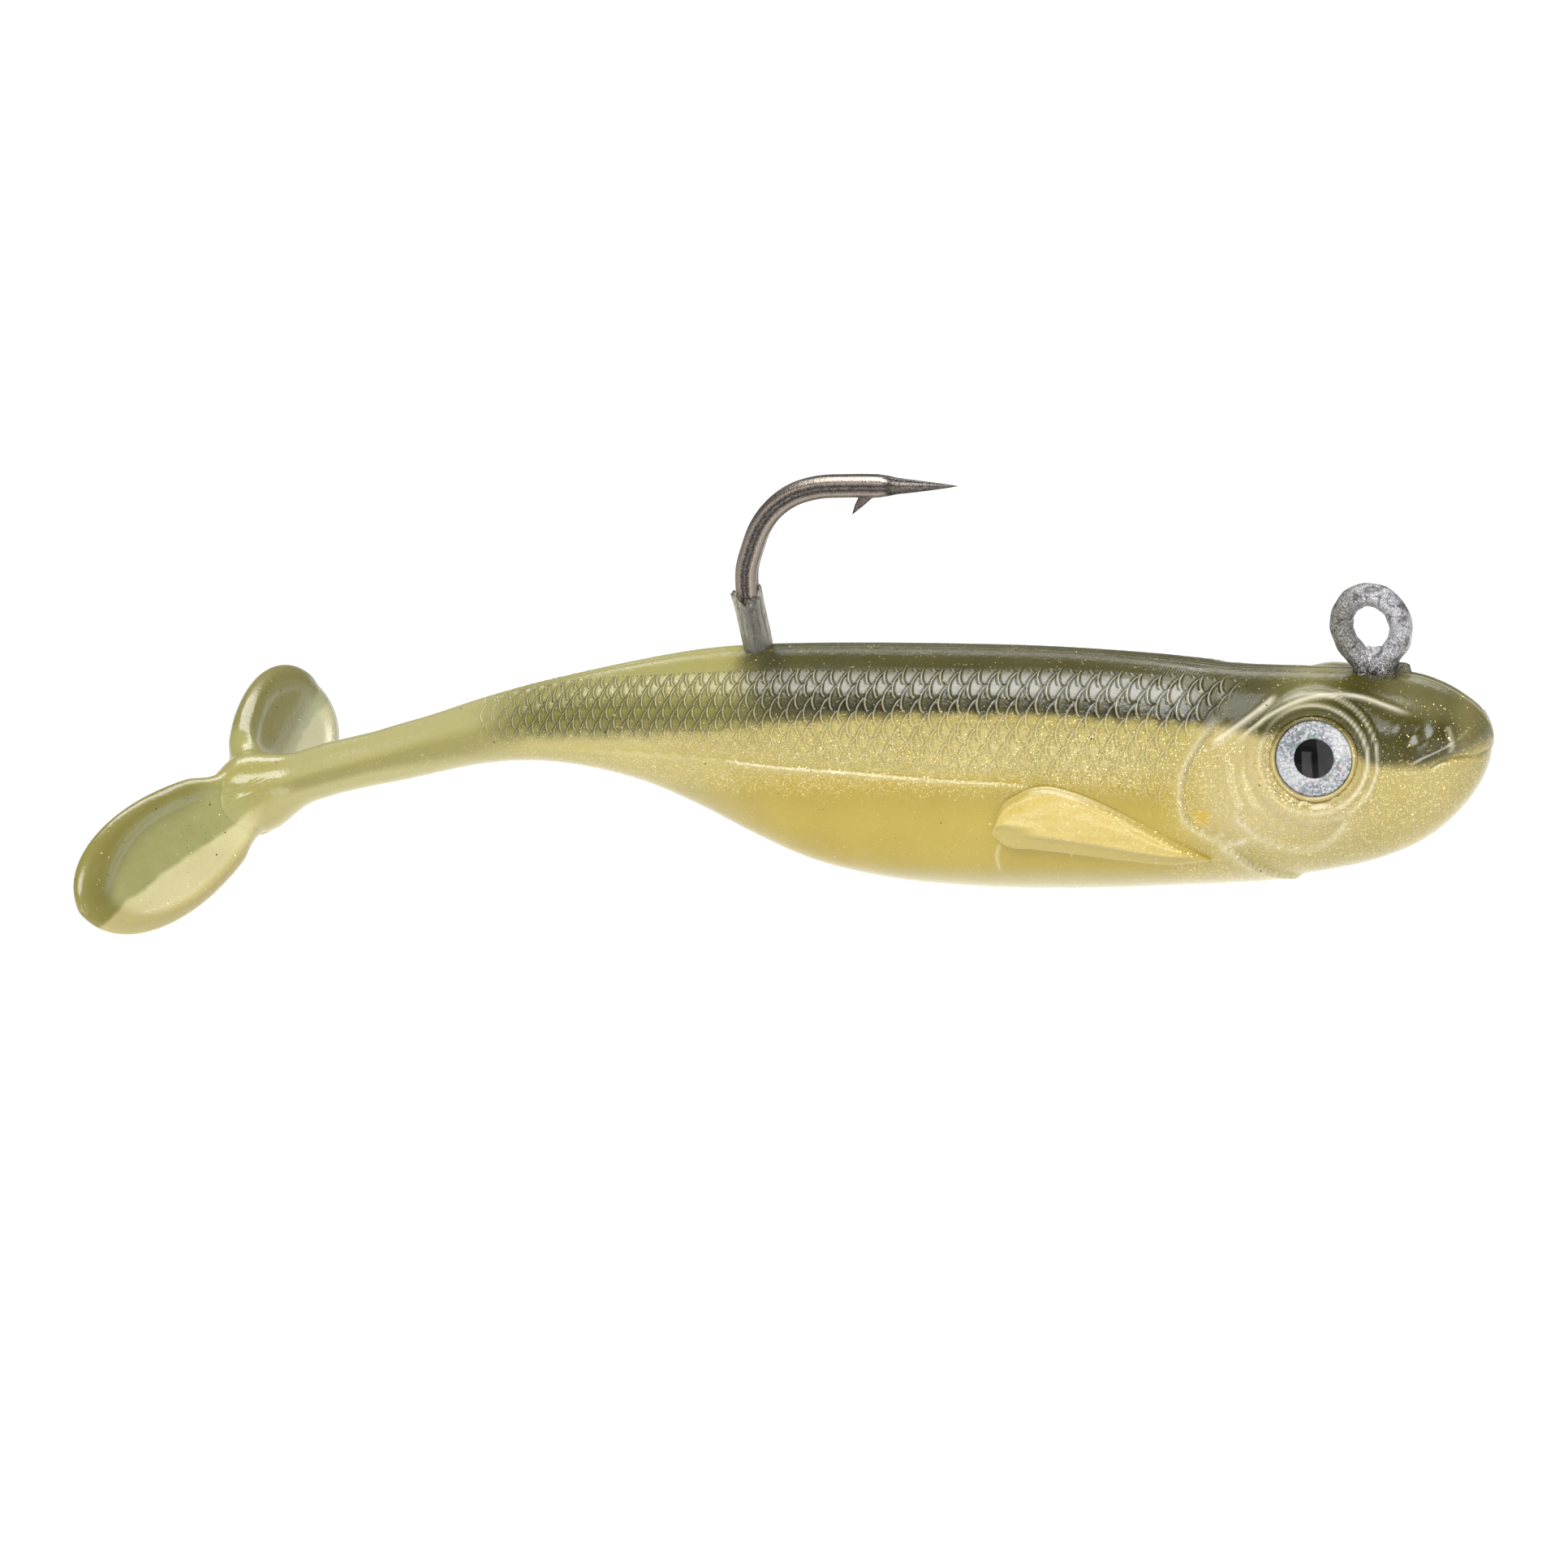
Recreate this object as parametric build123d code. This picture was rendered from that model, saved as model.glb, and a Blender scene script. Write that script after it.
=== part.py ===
from build123d import *
import math
import os

# Soft plastic swimbait, about 107 mm long, poured in two colours round a lead
# and hook harness.  Millimetres.  +X runs to the nose, +Y to the fish's left,
# +Z up.  The body is drawn on a datum at the middle of its length; everything
# is moved on export so that the middle of the line-tie ring is the origin.

# ---- line tie ----
TIE_X = 46.9                # middle of the ring, along the body datum
TIE_Z = 12.4                # middle of the ring, above the body datum
TIE_RING_R = 2.35           # ring radius to the middle of the wire
TIE_WIRE_R = 0.85           # wire radius
TIE_LAND_R = 1.54           # radius of the coined land inside the ring
TIE_LEG_SPREAD = 0.80       # half the spacing of the two legs
TIE_LEG_END_Z = 4.2         # lower end of the legs inside the lead

# ---- upright line the tail bends about ----
TAIL_PIVOT_X = -20.0
TAIL_PIVOT_Y = -0.05
TAIL_PIVOT_R = 2.60         # round front of the tail stem
JOINT_GAP = 0.30            # clear space between the trunk and the tail stem
TRUNK_REAR_X = TAIL_PIVOT_X + TAIL_PIVOT_R + JOINT_GAP

# ---- trunk sections: x, top, bottom, half width ----
TRUNK_SECTIONS = [
    (TRUNK_REAR_X, 8.45, 2.00, 2.90),
    (-14.0, 9.20, 1.50, 3.20),
    (-10.0, 9.95, 0.40, 3.70),
    (-6.0, 10.60, -1.40, 4.20),
    (-2.0, 10.93, -3.60, 4.70),
    (2.0, 11.02, -5.50, 5.10),
    (8.0, 11.02, -7.05, 5.35),
    (14.0, 10.96, -7.70, 5.50),
    (22.0, 10.70, -7.90, 5.50),
    (30.0, 10.05, -7.60, 5.50),
    (36.0, 9.30, -7.10, 5.65),
    (42.0, 9.05, -6.30, 5.60),
    (47.0, 8.90, -5.10, 5.05),
    (50.5, 8.35, -3.50, 4.25),
    (53.0, 7.10, -1.40, 3.20),
    (54.6, 5.65, 0.60, 2.00),
]
NOSE_TIP = (55.3, 3.4)
SECTION_POWER = 2.3         # squareness of a section, 2 is an ellipse
BACK_NARROWING = 0.12       # the back is this much narrower than the belly
LAMINATION_LINE = [(-20.0, 5.0), (-8.0, 5.3), (36.0, 5.3), (48.0, 3.6), (60.0, 2.6)]

# ---- mouth: a thin groove round the snout ----
MOUTH_Z = 2.75
MOUTH_CORNER_X = 51.5
MOUTH_GROOVE_H = 0.26
MOUTH_FLOOR = [(51.0, -3.6), (52.6, -2.7), (54.0, -1.4), (54.6, 0), (54.0, 1.4), (52.6, 2.7), (51.0, 3.6)]

# ---- tail stem sections: x, side shift, middle height, half width, half height ----
STEM_SECTIONS = [
    (-16.8, -0.02, 5.30, 2.92, 3.20),
    (-20.0, -0.05, 5.00, 2.60, 2.85),
    (-24.0, -0.10, 4.30, 2.30, 2.50),
    (-28.0, -0.17, 3.30, 2.05, 2.28),
    (-32.0, -0.25, 2.35, 1.95, 2.20),
    (-36.0, -0.35, 1.50, 1.95, 2.10),
    (-40.0, -0.48, 0.45, 2.10, 2.00),
    (-43.6, -0.60, -0.70, 1.90, 1.80),
]
STEM_NARROWING = 0.05       # the stem is nearly as wide above as below
STEM_SPLIT_LINE = [(-14.0, 5.1), (-20.0, 5.0), (-28.0, 3.3), (-36.0, 1.5), (-43.5, -0.7), (-60.0, -0.7)]

# ---- fluke: two oval lobes on a thick web, resting a little kicked over ----
FLUKE_CENTRE = (-43.1, -0.6, -0.6)
FLUKE_YAW = -6.4            # kick of the whole fluke about the upright
FLUKE_ROLL = 6.9            # twist of the whole fluke about the stem
FLUKE_TILT = 16.4           # droop of the stem's line at the fluke
LOBE_PITCH = 39.7           # trailing edges stand this much above the stem's line
LOBE_SWEEP = 12.9           # each lobe sweeps back from straight across
LOBE_DROOP = 5.4            # each lobe tip droops below straight across
LOBE_MID = 9.0              # middle of the lobe oval, out from the centre
LOBE_HALF_LENGTH = 10.7
LOBE_HALF_CHORD = 4.6
LOBE_TIP_FULLNESS = 0.18    # the oval is fuller toward its tip
LOBE_RIM_T = 2.0            # thickness of the rounded rim
LOBE_WEB_T = 1.1            # thickness inside the rim
LOBE_RIM_W = 1.5            # width of the rim
LOBE_RIM_FILLET = 0.62      # rounding of the rim
LOBE_HINGE_S = 6.0          # flex line, out from the centre
LOBE_HINGE_GAP = 0.25
WEB_HALF_CHORD = 3.7        # the web where it leaves the stem
WEB_HALF_T = 1.75

# ---- hook ----
WIRE_R = 0.80
FORGED_HALF_T = 0.62        # half thickness across the forged flats
SHANK_Z = 5.4
SHANK_FRONT_X = 40.0
SHANK_REAR_X = 5.0          # where the shank starts to turn up into the leg
HEEL_MID = (0.6, 6.6)
LEG_FOOT = (-0.75, 9.5)
LEG_TOP = (-0.98, 15.6)
BEND_POINTS = [(-0.16, 18.8), (1.9, 21.95), (5.4, 23.55)]
POINT_TAPER_X = 10.7
POINT_X = 16.5
POINT_Z = 23.65
BARB = [(9.5, 23.1), (8.0, 21.6), (8.4, 23.1)]
BARB_HALF_T = 0.28
SLEEVE_R = 1.08
SLEEVE_BORE_R = 0.83
SLEEVE_FOOT_Z = 9.7
SLEEVE_TOP_Z = 15.2

# ---- lead cast round the shank: x, half width, half height, all at shank height ----
LEAD_SECTIONS = [
    (-1.6, 0.95, 1.0),
    (4.0, 1.5, 1.9),
    (14.0, 1.9, 2.4),
    (28.0, 2.4, 2.8),
    (38.0, 2.9, 3.1),
    (46.0, 2.6, 2.7),
    (50.0, 1.6, 1.6),
]

# ---- dense core of the belly: x, z, half width, half height ----
CORE_SECTIONS = [
    (8.0, -1.5, 1.2, 1.3),
    (15.0, -2.2, 2.5, 2.6),
    (25.0, -2.4, 2.8, 2.9),
    (34.0, -2.1, 2.6, 2.7),
    (40.0, -1.5, 1.4, 1.6),
]

# ---- clear flash at the foot of the line tie ----
COLLAR_HALF_L = 2.6
COLLAR_HALF_W = 1.7
COLLAR_T = 0.75
COLLAR_Z = 8.65
COLLAR_FILLET = 0.25

# ---- eyes ----
EYE_AT = (43.0, 5.20, 3.94)
EYE_NORMAL = (0.13, 0.96, 0.20)
EYE_R = 3.0
EYE_CLEARANCE = 0.04        # all round, between an eye and its socket
FOIL_T = 0.25
PUPIL_R = 1.6
PUPIL_T = 0.12
LENS_EDGE_T = 0.35          # straight edge of the lens under its dome
LENS_RISE = 1.05            # height of the dome above the edge
SOCKET_DEPTH = 0.75
ORBIT_R = 3.75              # raised ring round the socket
ORBIT_FILLET = 0.35

# ---- pectoral fins ----
FIN_ROOT_FRONT = (33.2, -1.7)
FIN_ROOT_REAR = (20.6, 2.0)
FIN_FACE_Y = 5.95           # inner face of the fin, clear of the flank
FIN_T = 0.8
FIN_TOE_IN = 1.5            # the lower edge leans in by this angle
FIN_EDGE = [(0, 0), (1.6, 1.7), (5.5, 2.9), (10.0, 3.6), (13.8, 4.3), (15.2, 3.3), (14.2, 1.3)]
FIN_BEAD_INSET = 0.3        # the rolled root edge stops this short at each end


def section_face(x, side, top, bottom, half_w, narrowing=BACK_NARROWING):
    """A fish cross-section in the plane x, fuller low down and narrower on the back."""
    mid = 0.5 * (top + bottom)
    half_h = 0.5 * (top - bottom)
    points = []
    for k in range(16):
        a = math.radians(-90.0 + 22.5 * k)
        c = math.cos(a)
        s = math.sin(a)
        u = math.copysign(abs(c) ** (2.0 / SECTION_POWER), c)
        v = math.copysign(abs(s) ** (2.0 / SECTION_POWER), s)
        points.append((side + half_w * u * (1.0 - narrowing * v), mid + half_h * v))
    plane = Plane(origin=(x, 0, 0), x_dir=(0, 1, 0), z_dir=(1, 0, 0))
    return plane * make_face(Spline(*points, periodic=True))


def below(line):
    """Everything under a line drawn in the side view."""
    front = line[-1][0]
    rear = line[0][0]
    outline = [*line, (front, -60.0), (rear, -60.0)]
    return extrude(Plane.XZ * make_face(Polyline(*outline, close=True)), 40, both=True)


def rotated(v, yaw, pitch, roll):
    """Turn a vector by roll, then pitch, then yaw, in degrees."""
    return v.rotate(Axis.X, roll).rotate(Axis.Y, pitch).rotate(Axis.Z, yaw)


# ------------------------------------------------------------------ trunk
sections = [section_face(x, 0.0, t, b, w) for x, t, b, w in TRUNK_SECTIONS]
trunk = loft([*sections, Vertex(NOSE_TIP[0], 0, NOSE_TIP[1])])

# ------------------------------------------------------------------ eyes
eye_parts = {}
sockets = []
for name, side in (("left", 1.0), ("right", -1.0)):
    origin = (EYE_AT[0], side * EYE_AT[1], EYE_AT[2])
    normal = (EYE_NORMAL[0], side * EYE_NORMAL[1], EYE_NORMAL[2])
    eye = Plane(origin=origin, x_dir=(1, 0, 0), z_dir=normal)
    orbit = Cylinder(ORBIT_R, 3.0, align=(Align.CENTER, Align.CENTER, Align.MAX))
    orbit = fillet(orbit.edges().filter_by(GeomType.CIRCLE).sort_by(Axis.Z)[-1], ORBIT_FILLET)
    trunk = trunk + eye * orbit
    socket = Cylinder(EYE_R + EYE_CLEARANCE, 3.0, align=(Align.CENTER, Align.CENTER, Align.MIN))
    sockets.append(eye * Pos(0, 0, -SOCKET_DEPTH) * socket)
    foil = Cylinder(EYE_R, FOIL_T, align=(Align.CENTER, Align.CENTER, Align.MIN))
    pupil = Cylinder(PUPIL_R, PUPIL_T, align=(Align.CENTER, Align.CENTER, Align.MIN))
    dome_r = (EYE_R ** 2 + LENS_RISE ** 2) / (2.0 * LENS_RISE)
    dome = Pos(0, 0, LENS_RISE - dome_r) * Sphere(dome_r)
    cap = dome & Cylinder(EYE_R + 1.0, 4.0, align=(Align.CENTER, Align.CENTER, Align.MIN))
    rim = Cylinder(EYE_R, LENS_EDGE_T, align=(Align.CENTER, Align.CENTER, Align.MIN))
    lens = rim + Pos(0, 0, LENS_EDGE_T) * cap - pupil
    floor = Pos(0, 0, -SOCKET_DEPTH)
    eye_parts[name + "_eye_foil"] = eye * floor * foil
    eye_parts[name + "_pupil"] = eye * floor * Pos(0, 0, FOIL_T) * pupil
    eye_parts[name + "_eye_lens"] = eye * floor * Pos(0, 0, FOIL_T) * lens

for socket in sockets:
    trunk = trunk - socket

# mouth line: a shallow groove that runs round the snout to each corner
mouth_slot = Box(5.0, 12.0, MOUTH_GROOVE_H, align=(Align.MIN, Align.CENTER, Align.CENTER))
mouth_floor = extrude(make_face(Polyline(*MOUTH_FLOOR, close=True)), 1.0, both=True)
trunk = trunk - Pos(0, 0, MOUTH_Z) * (Pos(MOUTH_CORNER_X, 0, 0) * mouth_slot - mouth_floor)

# ------------------------------------------------------------------ harness
ring = Rot(90, 0, 0) * Torus(TIE_RING_R, TIE_WIRE_R)
ring = ring - Rot(90, 0, 0) * Cylinder(TIE_LAND_R, 4.0)
leg_length = TIE_Z - TIE_RING_R - TIE_LEG_END_Z
line_tie = Pos(TIE_X, 0, TIE_Z) * ring
for step in (-1.0, 1.0):
    leg = Cylinder(TIE_WIRE_R, leg_length, align=(Align.CENTER, Align.CENTER, Align.MIN))
    line_tie = line_tie + Pos(TIE_X + step * TIE_LEG_SPREAD, 0, TIE_LEG_END_Z) * leg

leg_line = Line((LEG_FOOT[0], 0, LEG_FOOT[1]), (LEG_TOP[0], 0, LEG_TOP[1]))
leg_dir = leg_line % 0.5
shank_line = Line((SHANK_FRONT_X, 0, SHANK_Z), (SHANK_REAR_X, 0, SHANK_Z))
heel_curve = Spline(
    (SHANK_REAR_X, 0, SHANK_Z),
    (HEEL_MID[0], 0, HEEL_MID[1]),
    (LEG_FOOT[0], 0, LEG_FOOT[1]),
    tangents=[(-1, 0, 0), leg_dir],
)
bend_curve = Spline(
    (LEG_TOP[0], 0, LEG_TOP[1]),
    *[(x, 0, z) for x, z in BEND_POINTS],
    (POINT_TAPER_X, 0, POINT_Z),
    tangents=[leg_dir, (1, 0, 0)],
)
hook_path = Wire([shank_line, heel_curve, leg_line, bend_curve])
wire_section = Plane(origin=(SHANK_FRONT_X, 0, SHANK_Z), z_dir=(-1, 0, 0)) * Circle(WIRE_R)
hook = sweep(wire_section, path=hook_path)
point_length = POINT_X - POINT_TAPER_X
spike = Cone(WIRE_R, 0.05, point_length, align=(Align.CENTER, Align.CENTER, Align.MIN))
hook = hook + Plane(origin=(POINT_TAPER_X, 0, POINT_Z), z_dir=(1, 0, 0)) * spike
barb_face = Plane.XZ * make_face(Polyline(*BARB, close=True))
hook = hook + extrude(barb_face, BARB_HALF_T, both=True)
for side in (-1.0, 1.0):
    shaving = Pos(4.0, side * (FORGED_HALF_T + 1.0), 21.0) * Box(14.0, 2.0, 9.4)
    hook = hook - shaving

lead_sections = []
for x, half_w, half_h in LEAD_SECTIONS:
    plane = Plane(origin=(x, 0, SHANK_Z), x_dir=(0, 1, 0), z_dir=(1, 0, 0))
    lead_sections.append(plane * Ellipse(half_w, half_h))
lead_blank = loft(lead_sections)

core_sections = []
for x, z, half_w, half_h in CORE_SECTIONS:
    plane = Plane(origin=(x, 0, z), x_dir=(0, 1, 0), z_dir=(1, 0, 0))
    core_sections.append(plane * Ellipse(half_w, half_h))
belly_core = loft(core_sections)

lead_insert = lead_blank - hook - line_tie

# clear sleeve on the leg of the hook
sleeve_plane = Plane(origin=(LEG_FOOT[0], 0, LEG_FOOT[1]), z_dir=leg_dir)
sleeve_length = SLEEVE_TOP_Z - SLEEVE_FOOT_Z
sleeve_blank = Cylinder(SLEEVE_R, sleeve_length, align=(Align.CENTER, Align.CENTER, Align.MIN))
sleeve_bore = Cylinder(SLEEVE_BORE_R, sleeve_length, align=(Align.CENTER, Align.CENTER, Align.MIN))
sleeve_seat = sleeve_plane * Pos(0, 0, SLEEVE_FOOT_Z - LEG_FOOT[1]) * sleeve_blank
hook_sleeve = sleeve_seat - sleeve_plane * Pos(0, 0, SLEEVE_FOOT_Z - LEG_FOOT[1]) * sleeve_bore

# clear flash left round the foot of the line tie
collar_plate = extrude(Ellipse(COLLAR_HALF_L, COLLAR_HALF_W), COLLAR_T)
collar_plate = fillet(collar_plate.edges().group_by(Axis.Z)[-1], COLLAR_FILLET)
tie_collar_blank = Pos(TIE_X, 0, COLLAR_Z) * collar_plate
tie_collar = tie_collar_blank - line_tie

# ------------------------------------------------------------------ poured body
belly_side = below(LAMINATION_LINE)
pour = trunk - lead_blank - sleeve_seat - hook - line_tie - tie_collar_blank
olive_back = pour - belly_side
gold_belly = (pour & belly_side) - belly_core

# ------------------------------------------------------------------ tail stem and web
stem = loft([section_face(x, y, z + h, z - h, w, STEM_NARROWING) for x, y, z, w, h in STEM_SECTIONS])
ahead = Pos(TAIL_PIVOT_X + 10.0, 0, 0) * Box(20.0, 40.0, 60.0)
knuckle = Pos(TAIL_PIVOT_X, TAIL_PIVOT_Y, 0) * Cylinder(TAIL_PIVOT_R, 60.0)
stem = stem - (ahead - knuckle)

chord_dir = {}
span_dir = {}
for name, side in (("left", 1.0), ("right", -1.0)):
    sweep_a = math.radians(LOBE_SWEEP)
    droop_a = math.radians(LOBE_DROOP)
    span = Vector(-math.sin(sweep_a), side * math.cos(sweep_a), -math.tan(droop_a)).normalized()
    pitch_a = math.radians(LOBE_PITCH)
    chord = Vector(math.cos(pitch_a), 0, -math.sin(pitch_a))
    chord = (chord - span * chord.dot(span)).normalized()
    span = rotated(span, FLUKE_YAW, FLUKE_TILT, FLUKE_ROLL)
    chord = rotated(chord, FLUKE_YAW, FLUKE_TILT, FLUKE_ROLL)
    span_dir[name] = span
    chord_dir[name] = chord

centre = Vector(*FLUKE_CENTRE)
web_end_s = LOBE_HINGE_S - 0.5 * LOBE_RIM_T - LOBE_HINGE_GAP


def lobe_half_chord(s):
    """Half the chord of a lobe at a distance s out from the fluke centre."""
    c = (s - LOBE_MID) / LOBE_HALF_LENGTH
    return LOBE_HALF_CHORD * math.sqrt(1.0 - c * c) * (1.0 + LOBE_TIP_FULLNESS * c)


across = (span_dir["left"] - span_dir["right"]).normalized()
mid_chord = chord_dir["left"] + chord_dir["right"]
mid_chord = (mid_chord - across * mid_chord.dot(across)).normalized()
web_sections = [Plane(origin=centre, x_dir=mid_chord, z_dir=across) * Ellipse(WEB_HALF_CHORD, WEB_HALF_T)]
for name, side in (("left", 1.0), ("right", -1.0)):
    origin = centre + span_dir[name] * web_end_s
    end = Plane(origin=origin, x_dir=chord_dir[name], z_dir=span_dir[name] * side)
    end_face = end * Ellipse(lobe_half_chord(web_end_s), 0.5 * LOBE_RIM_T + 0.05)
    web_sections = [*web_sections, end_face] if side > 0 else [end_face, *web_sections]
web = loft(web_sections)

gold_side = below([(x, z) for x, z in reversed(STEM_SPLIT_LINE)])
tail_olive = (stem - gold_side) + (web - gold_side)
tail_gold = (stem & gold_side) + (web & gold_side)

# ------------------------------------------------------------------ lobes
lobes = {}
for name in ("left", "right"):
    span = span_dir[name]
    chord = chord_dir[name]
    lobe_plane = Plane(origin=centre, x_dir=span, z_dir=span.cross(chord))
    outline = []
    inner = []
    for k in range(20):
        a = math.radians(171.0 + 18.0 * k)
        c = math.cos(a)
        s = math.sin(a)
        full = 1.0 + LOBE_TIP_FULLNESS * c
        outline.append((LOBE_MID + LOBE_HALF_LENGTH * c, LOBE_HALF_CHORD * s * full))
        inner_l = LOBE_HALF_LENGTH - LOBE_RIM_W
        inner_c = LOBE_HALF_CHORD - LOBE_RIM_W
        inner.append((LOBE_MID + inner_l * c, inner_c * s * full))
    plate = extrude(make_face(Spline(*outline, periodic=True)), 0.5 * LOBE_RIM_T, both=True)
    plate = fillet(plate.edges(), LOBE_RIM_FILLET)
    past_hinge = Pos(LOBE_HINGE_S, 0, 0) * Box(40, 40, 40, align=(Align.MIN, Align.CENTER, Align.CENTER))
    plate = plate & past_hinge
    recess_face = make_face(Spline(*inner, periodic=True))
    root_side = (Align.MIN, Align.CENTER, Align.CENTER)
    beyond_root = Pos(LOBE_HINGE_S + 1.6, 0, 0) * Box(40, 40, 40, align=root_side)
    for side in (1.0, -1.0):
        recess = extrude(recess_face, 2.0) & beyond_root
        recess = Pos(0, 0, 0.5 * LOBE_WEB_T) * recess
        plate = plate - (recess if side > 0 else Rot(180, 0, 0) * recess)
    root_half = lobe_half_chord(LOBE_HINGE_S) - 0.7
    root = Pos(LOBE_HINGE_S, 0, 0) * Rot(90, 0, 0) * Cylinder(0.5 * LOBE_RIM_T, 2.0 * root_half)
    plate = plate + root
    front_half = Box(80, 40, 40, align=(Align.CENTER, Align.MIN, Align.CENTER))
    lobes[name + "_lobe_gold"] = lobe_plane * (plate & front_half)
    lobes[name + "_lobe_olive"] = lobe_plane * (plate - front_half)

# ------------------------------------------------------------------ pectoral fins
fins = {}
root_vec = Vector(FIN_ROOT_REAR[0] - FIN_ROOT_FRONT[0], 0, FIN_ROOT_REAR[1] - FIN_ROOT_FRONT[1])
root_len = root_vec.length
for name, side in (("left", 1.0), ("right", -1.0)):
    # drawn with u running from the front of the root to its rear, v down the flank
    down = Vector(0, 0, -1).rotate(Axis.X, -side * FIN_TOE_IN)
    along = root_vec.normalized()
    out = along.cross(down) if side > 0 else down.cross(along)
    out = out if out.Y * side > 0 else out * -1.0
    axis_y = side * (FIN_FACE_Y + 0.5 * FIN_T)
    front_pt = Vector(FIN_ROOT_FRONT[0], axis_y, FIN_ROOT_FRONT[1])
    leaf = Plane(origin=front_pt, x_dir=along, z_dir=out)
    flip = 1.0 if leaf.y_dir.Z < 0 else -1.0
    edge = [(u, flip * v) for u, v in (*FIN_EDGE, (root_len, 0))]
    outline = Wire([Spline(*edge), Line(edge[-1], edge[0])])
    blade = extrude(make_face(outline), 0.5 * FIN_T, both=True)
    bead_len = root_len - 2.0 * FIN_BEAD_INSET
    bead = Rot(0, 90, 0) * Cylinder(0.5 * FIN_T, bead_len, align=(Align.CENTER, Align.CENTER, Align.MIN))
    fins[name + "_pectoral_fin"] = leaf * (blade + Pos(FIN_BEAD_INSET, 0, 0) * bead)

# ------------------------------------------------------------------ write out
nodes = {
    "olive_back": olive_back,
    "gold_belly": gold_belly,
    "belly_core": belly_core,
    "lead_insert": lead_insert,
    "line_tie": line_tie,
    "tie_collar": tie_collar,
    "hook": hook,
    "hook_sleeve": hook_sleeve,
    "tail_olive": tail_olive,
    "tail_gold": tail_gold,
    **eye_parts,
    **lobes,
    **fins,
}

os.makedirs("parts", exist_ok=True)
for name, shape in nodes.items():
    export_step(Pos(-TIE_X, 0, -TIE_Z) * shape, "parts/" + name + ".step")
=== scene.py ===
import math
from functools import partialmethod

import bmesh
import bpy
import numpy as np
from mathutils import Matrix, Vector


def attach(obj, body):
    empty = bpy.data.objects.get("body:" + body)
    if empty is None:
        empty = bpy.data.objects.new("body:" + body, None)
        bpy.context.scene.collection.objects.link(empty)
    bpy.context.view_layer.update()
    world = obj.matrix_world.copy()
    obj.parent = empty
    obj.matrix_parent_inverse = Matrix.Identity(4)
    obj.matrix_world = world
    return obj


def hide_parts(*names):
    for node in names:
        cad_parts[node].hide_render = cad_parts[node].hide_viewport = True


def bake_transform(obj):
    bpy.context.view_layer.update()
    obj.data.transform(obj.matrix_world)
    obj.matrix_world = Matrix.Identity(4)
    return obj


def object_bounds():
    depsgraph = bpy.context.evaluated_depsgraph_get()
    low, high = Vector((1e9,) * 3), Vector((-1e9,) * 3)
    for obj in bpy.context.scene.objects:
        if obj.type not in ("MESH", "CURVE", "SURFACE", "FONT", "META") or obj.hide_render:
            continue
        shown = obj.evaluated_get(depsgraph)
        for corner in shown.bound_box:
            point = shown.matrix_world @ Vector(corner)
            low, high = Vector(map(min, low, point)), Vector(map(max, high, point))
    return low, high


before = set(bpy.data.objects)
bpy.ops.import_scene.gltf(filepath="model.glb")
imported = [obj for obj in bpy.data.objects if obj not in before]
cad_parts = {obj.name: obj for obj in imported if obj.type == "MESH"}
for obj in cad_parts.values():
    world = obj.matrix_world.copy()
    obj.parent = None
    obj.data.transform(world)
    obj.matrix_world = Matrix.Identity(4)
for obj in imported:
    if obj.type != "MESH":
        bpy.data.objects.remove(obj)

cad_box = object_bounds()

# Everything is written in millimetres on the body's own datum, which lies under
# the line tie: +X to the nose, +Y to the fish's left, +Z up.
MM = 0.001
TIE = np.array((46.9, 0.0, 12.4))


def at(points):
    """Body datum in millimetres to the frame in metres."""
    return (np.asarray(points, float) - TIE) * MM


def vec(point):
    return Vector([float(c) for c in at(point)])


def clamp01(t):
    return np.clip(t, 0.0, 1.0)


def smooth(a, b, t):
    """0 before a, 1 after b, eased between; a may be the larger of the two."""
    k = clamp01((np.asarray(t, float) - a) / (b - a))
    return k * k * (3.0 - 2.0 * k)


def mix(a, b, t):
    return a + (b - a) * t


def spline(xs, ys, x):
    """A smooth curve through the given points, at x."""
    xs = np.asarray(xs, float)
    ys = np.asarray(ys, float)
    slope = np.gradient(ys, xs)
    x = np.clip(x, xs[0], xs[-1])
    i = np.clip(np.searchsorted(xs, x, side="right") - 1, 0, len(xs) - 2)
    h = xs[i + 1] - xs[i]
    t = (x - xs[i]) / h
    a = (2 * t**3 - 3 * t**2 + 1) * ys[i] + (t**3 - 2 * t**2 + t) * h * slope[i]
    return a + (3 * t**2 - 2 * t**3) * ys[i + 1] + (t**3 - t**2) * h * slope[i + 1]


def turns(count):
    """Evenly spaced angles round a circle."""
    return np.linspace(0.0, 2.0 * math.pi, count, endpoint=False)


def unit(v):
    v = np.asarray(v, float)
    return v / np.maximum(np.linalg.norm(v, axis=-1, keepdims=True), 1e-12)


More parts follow.
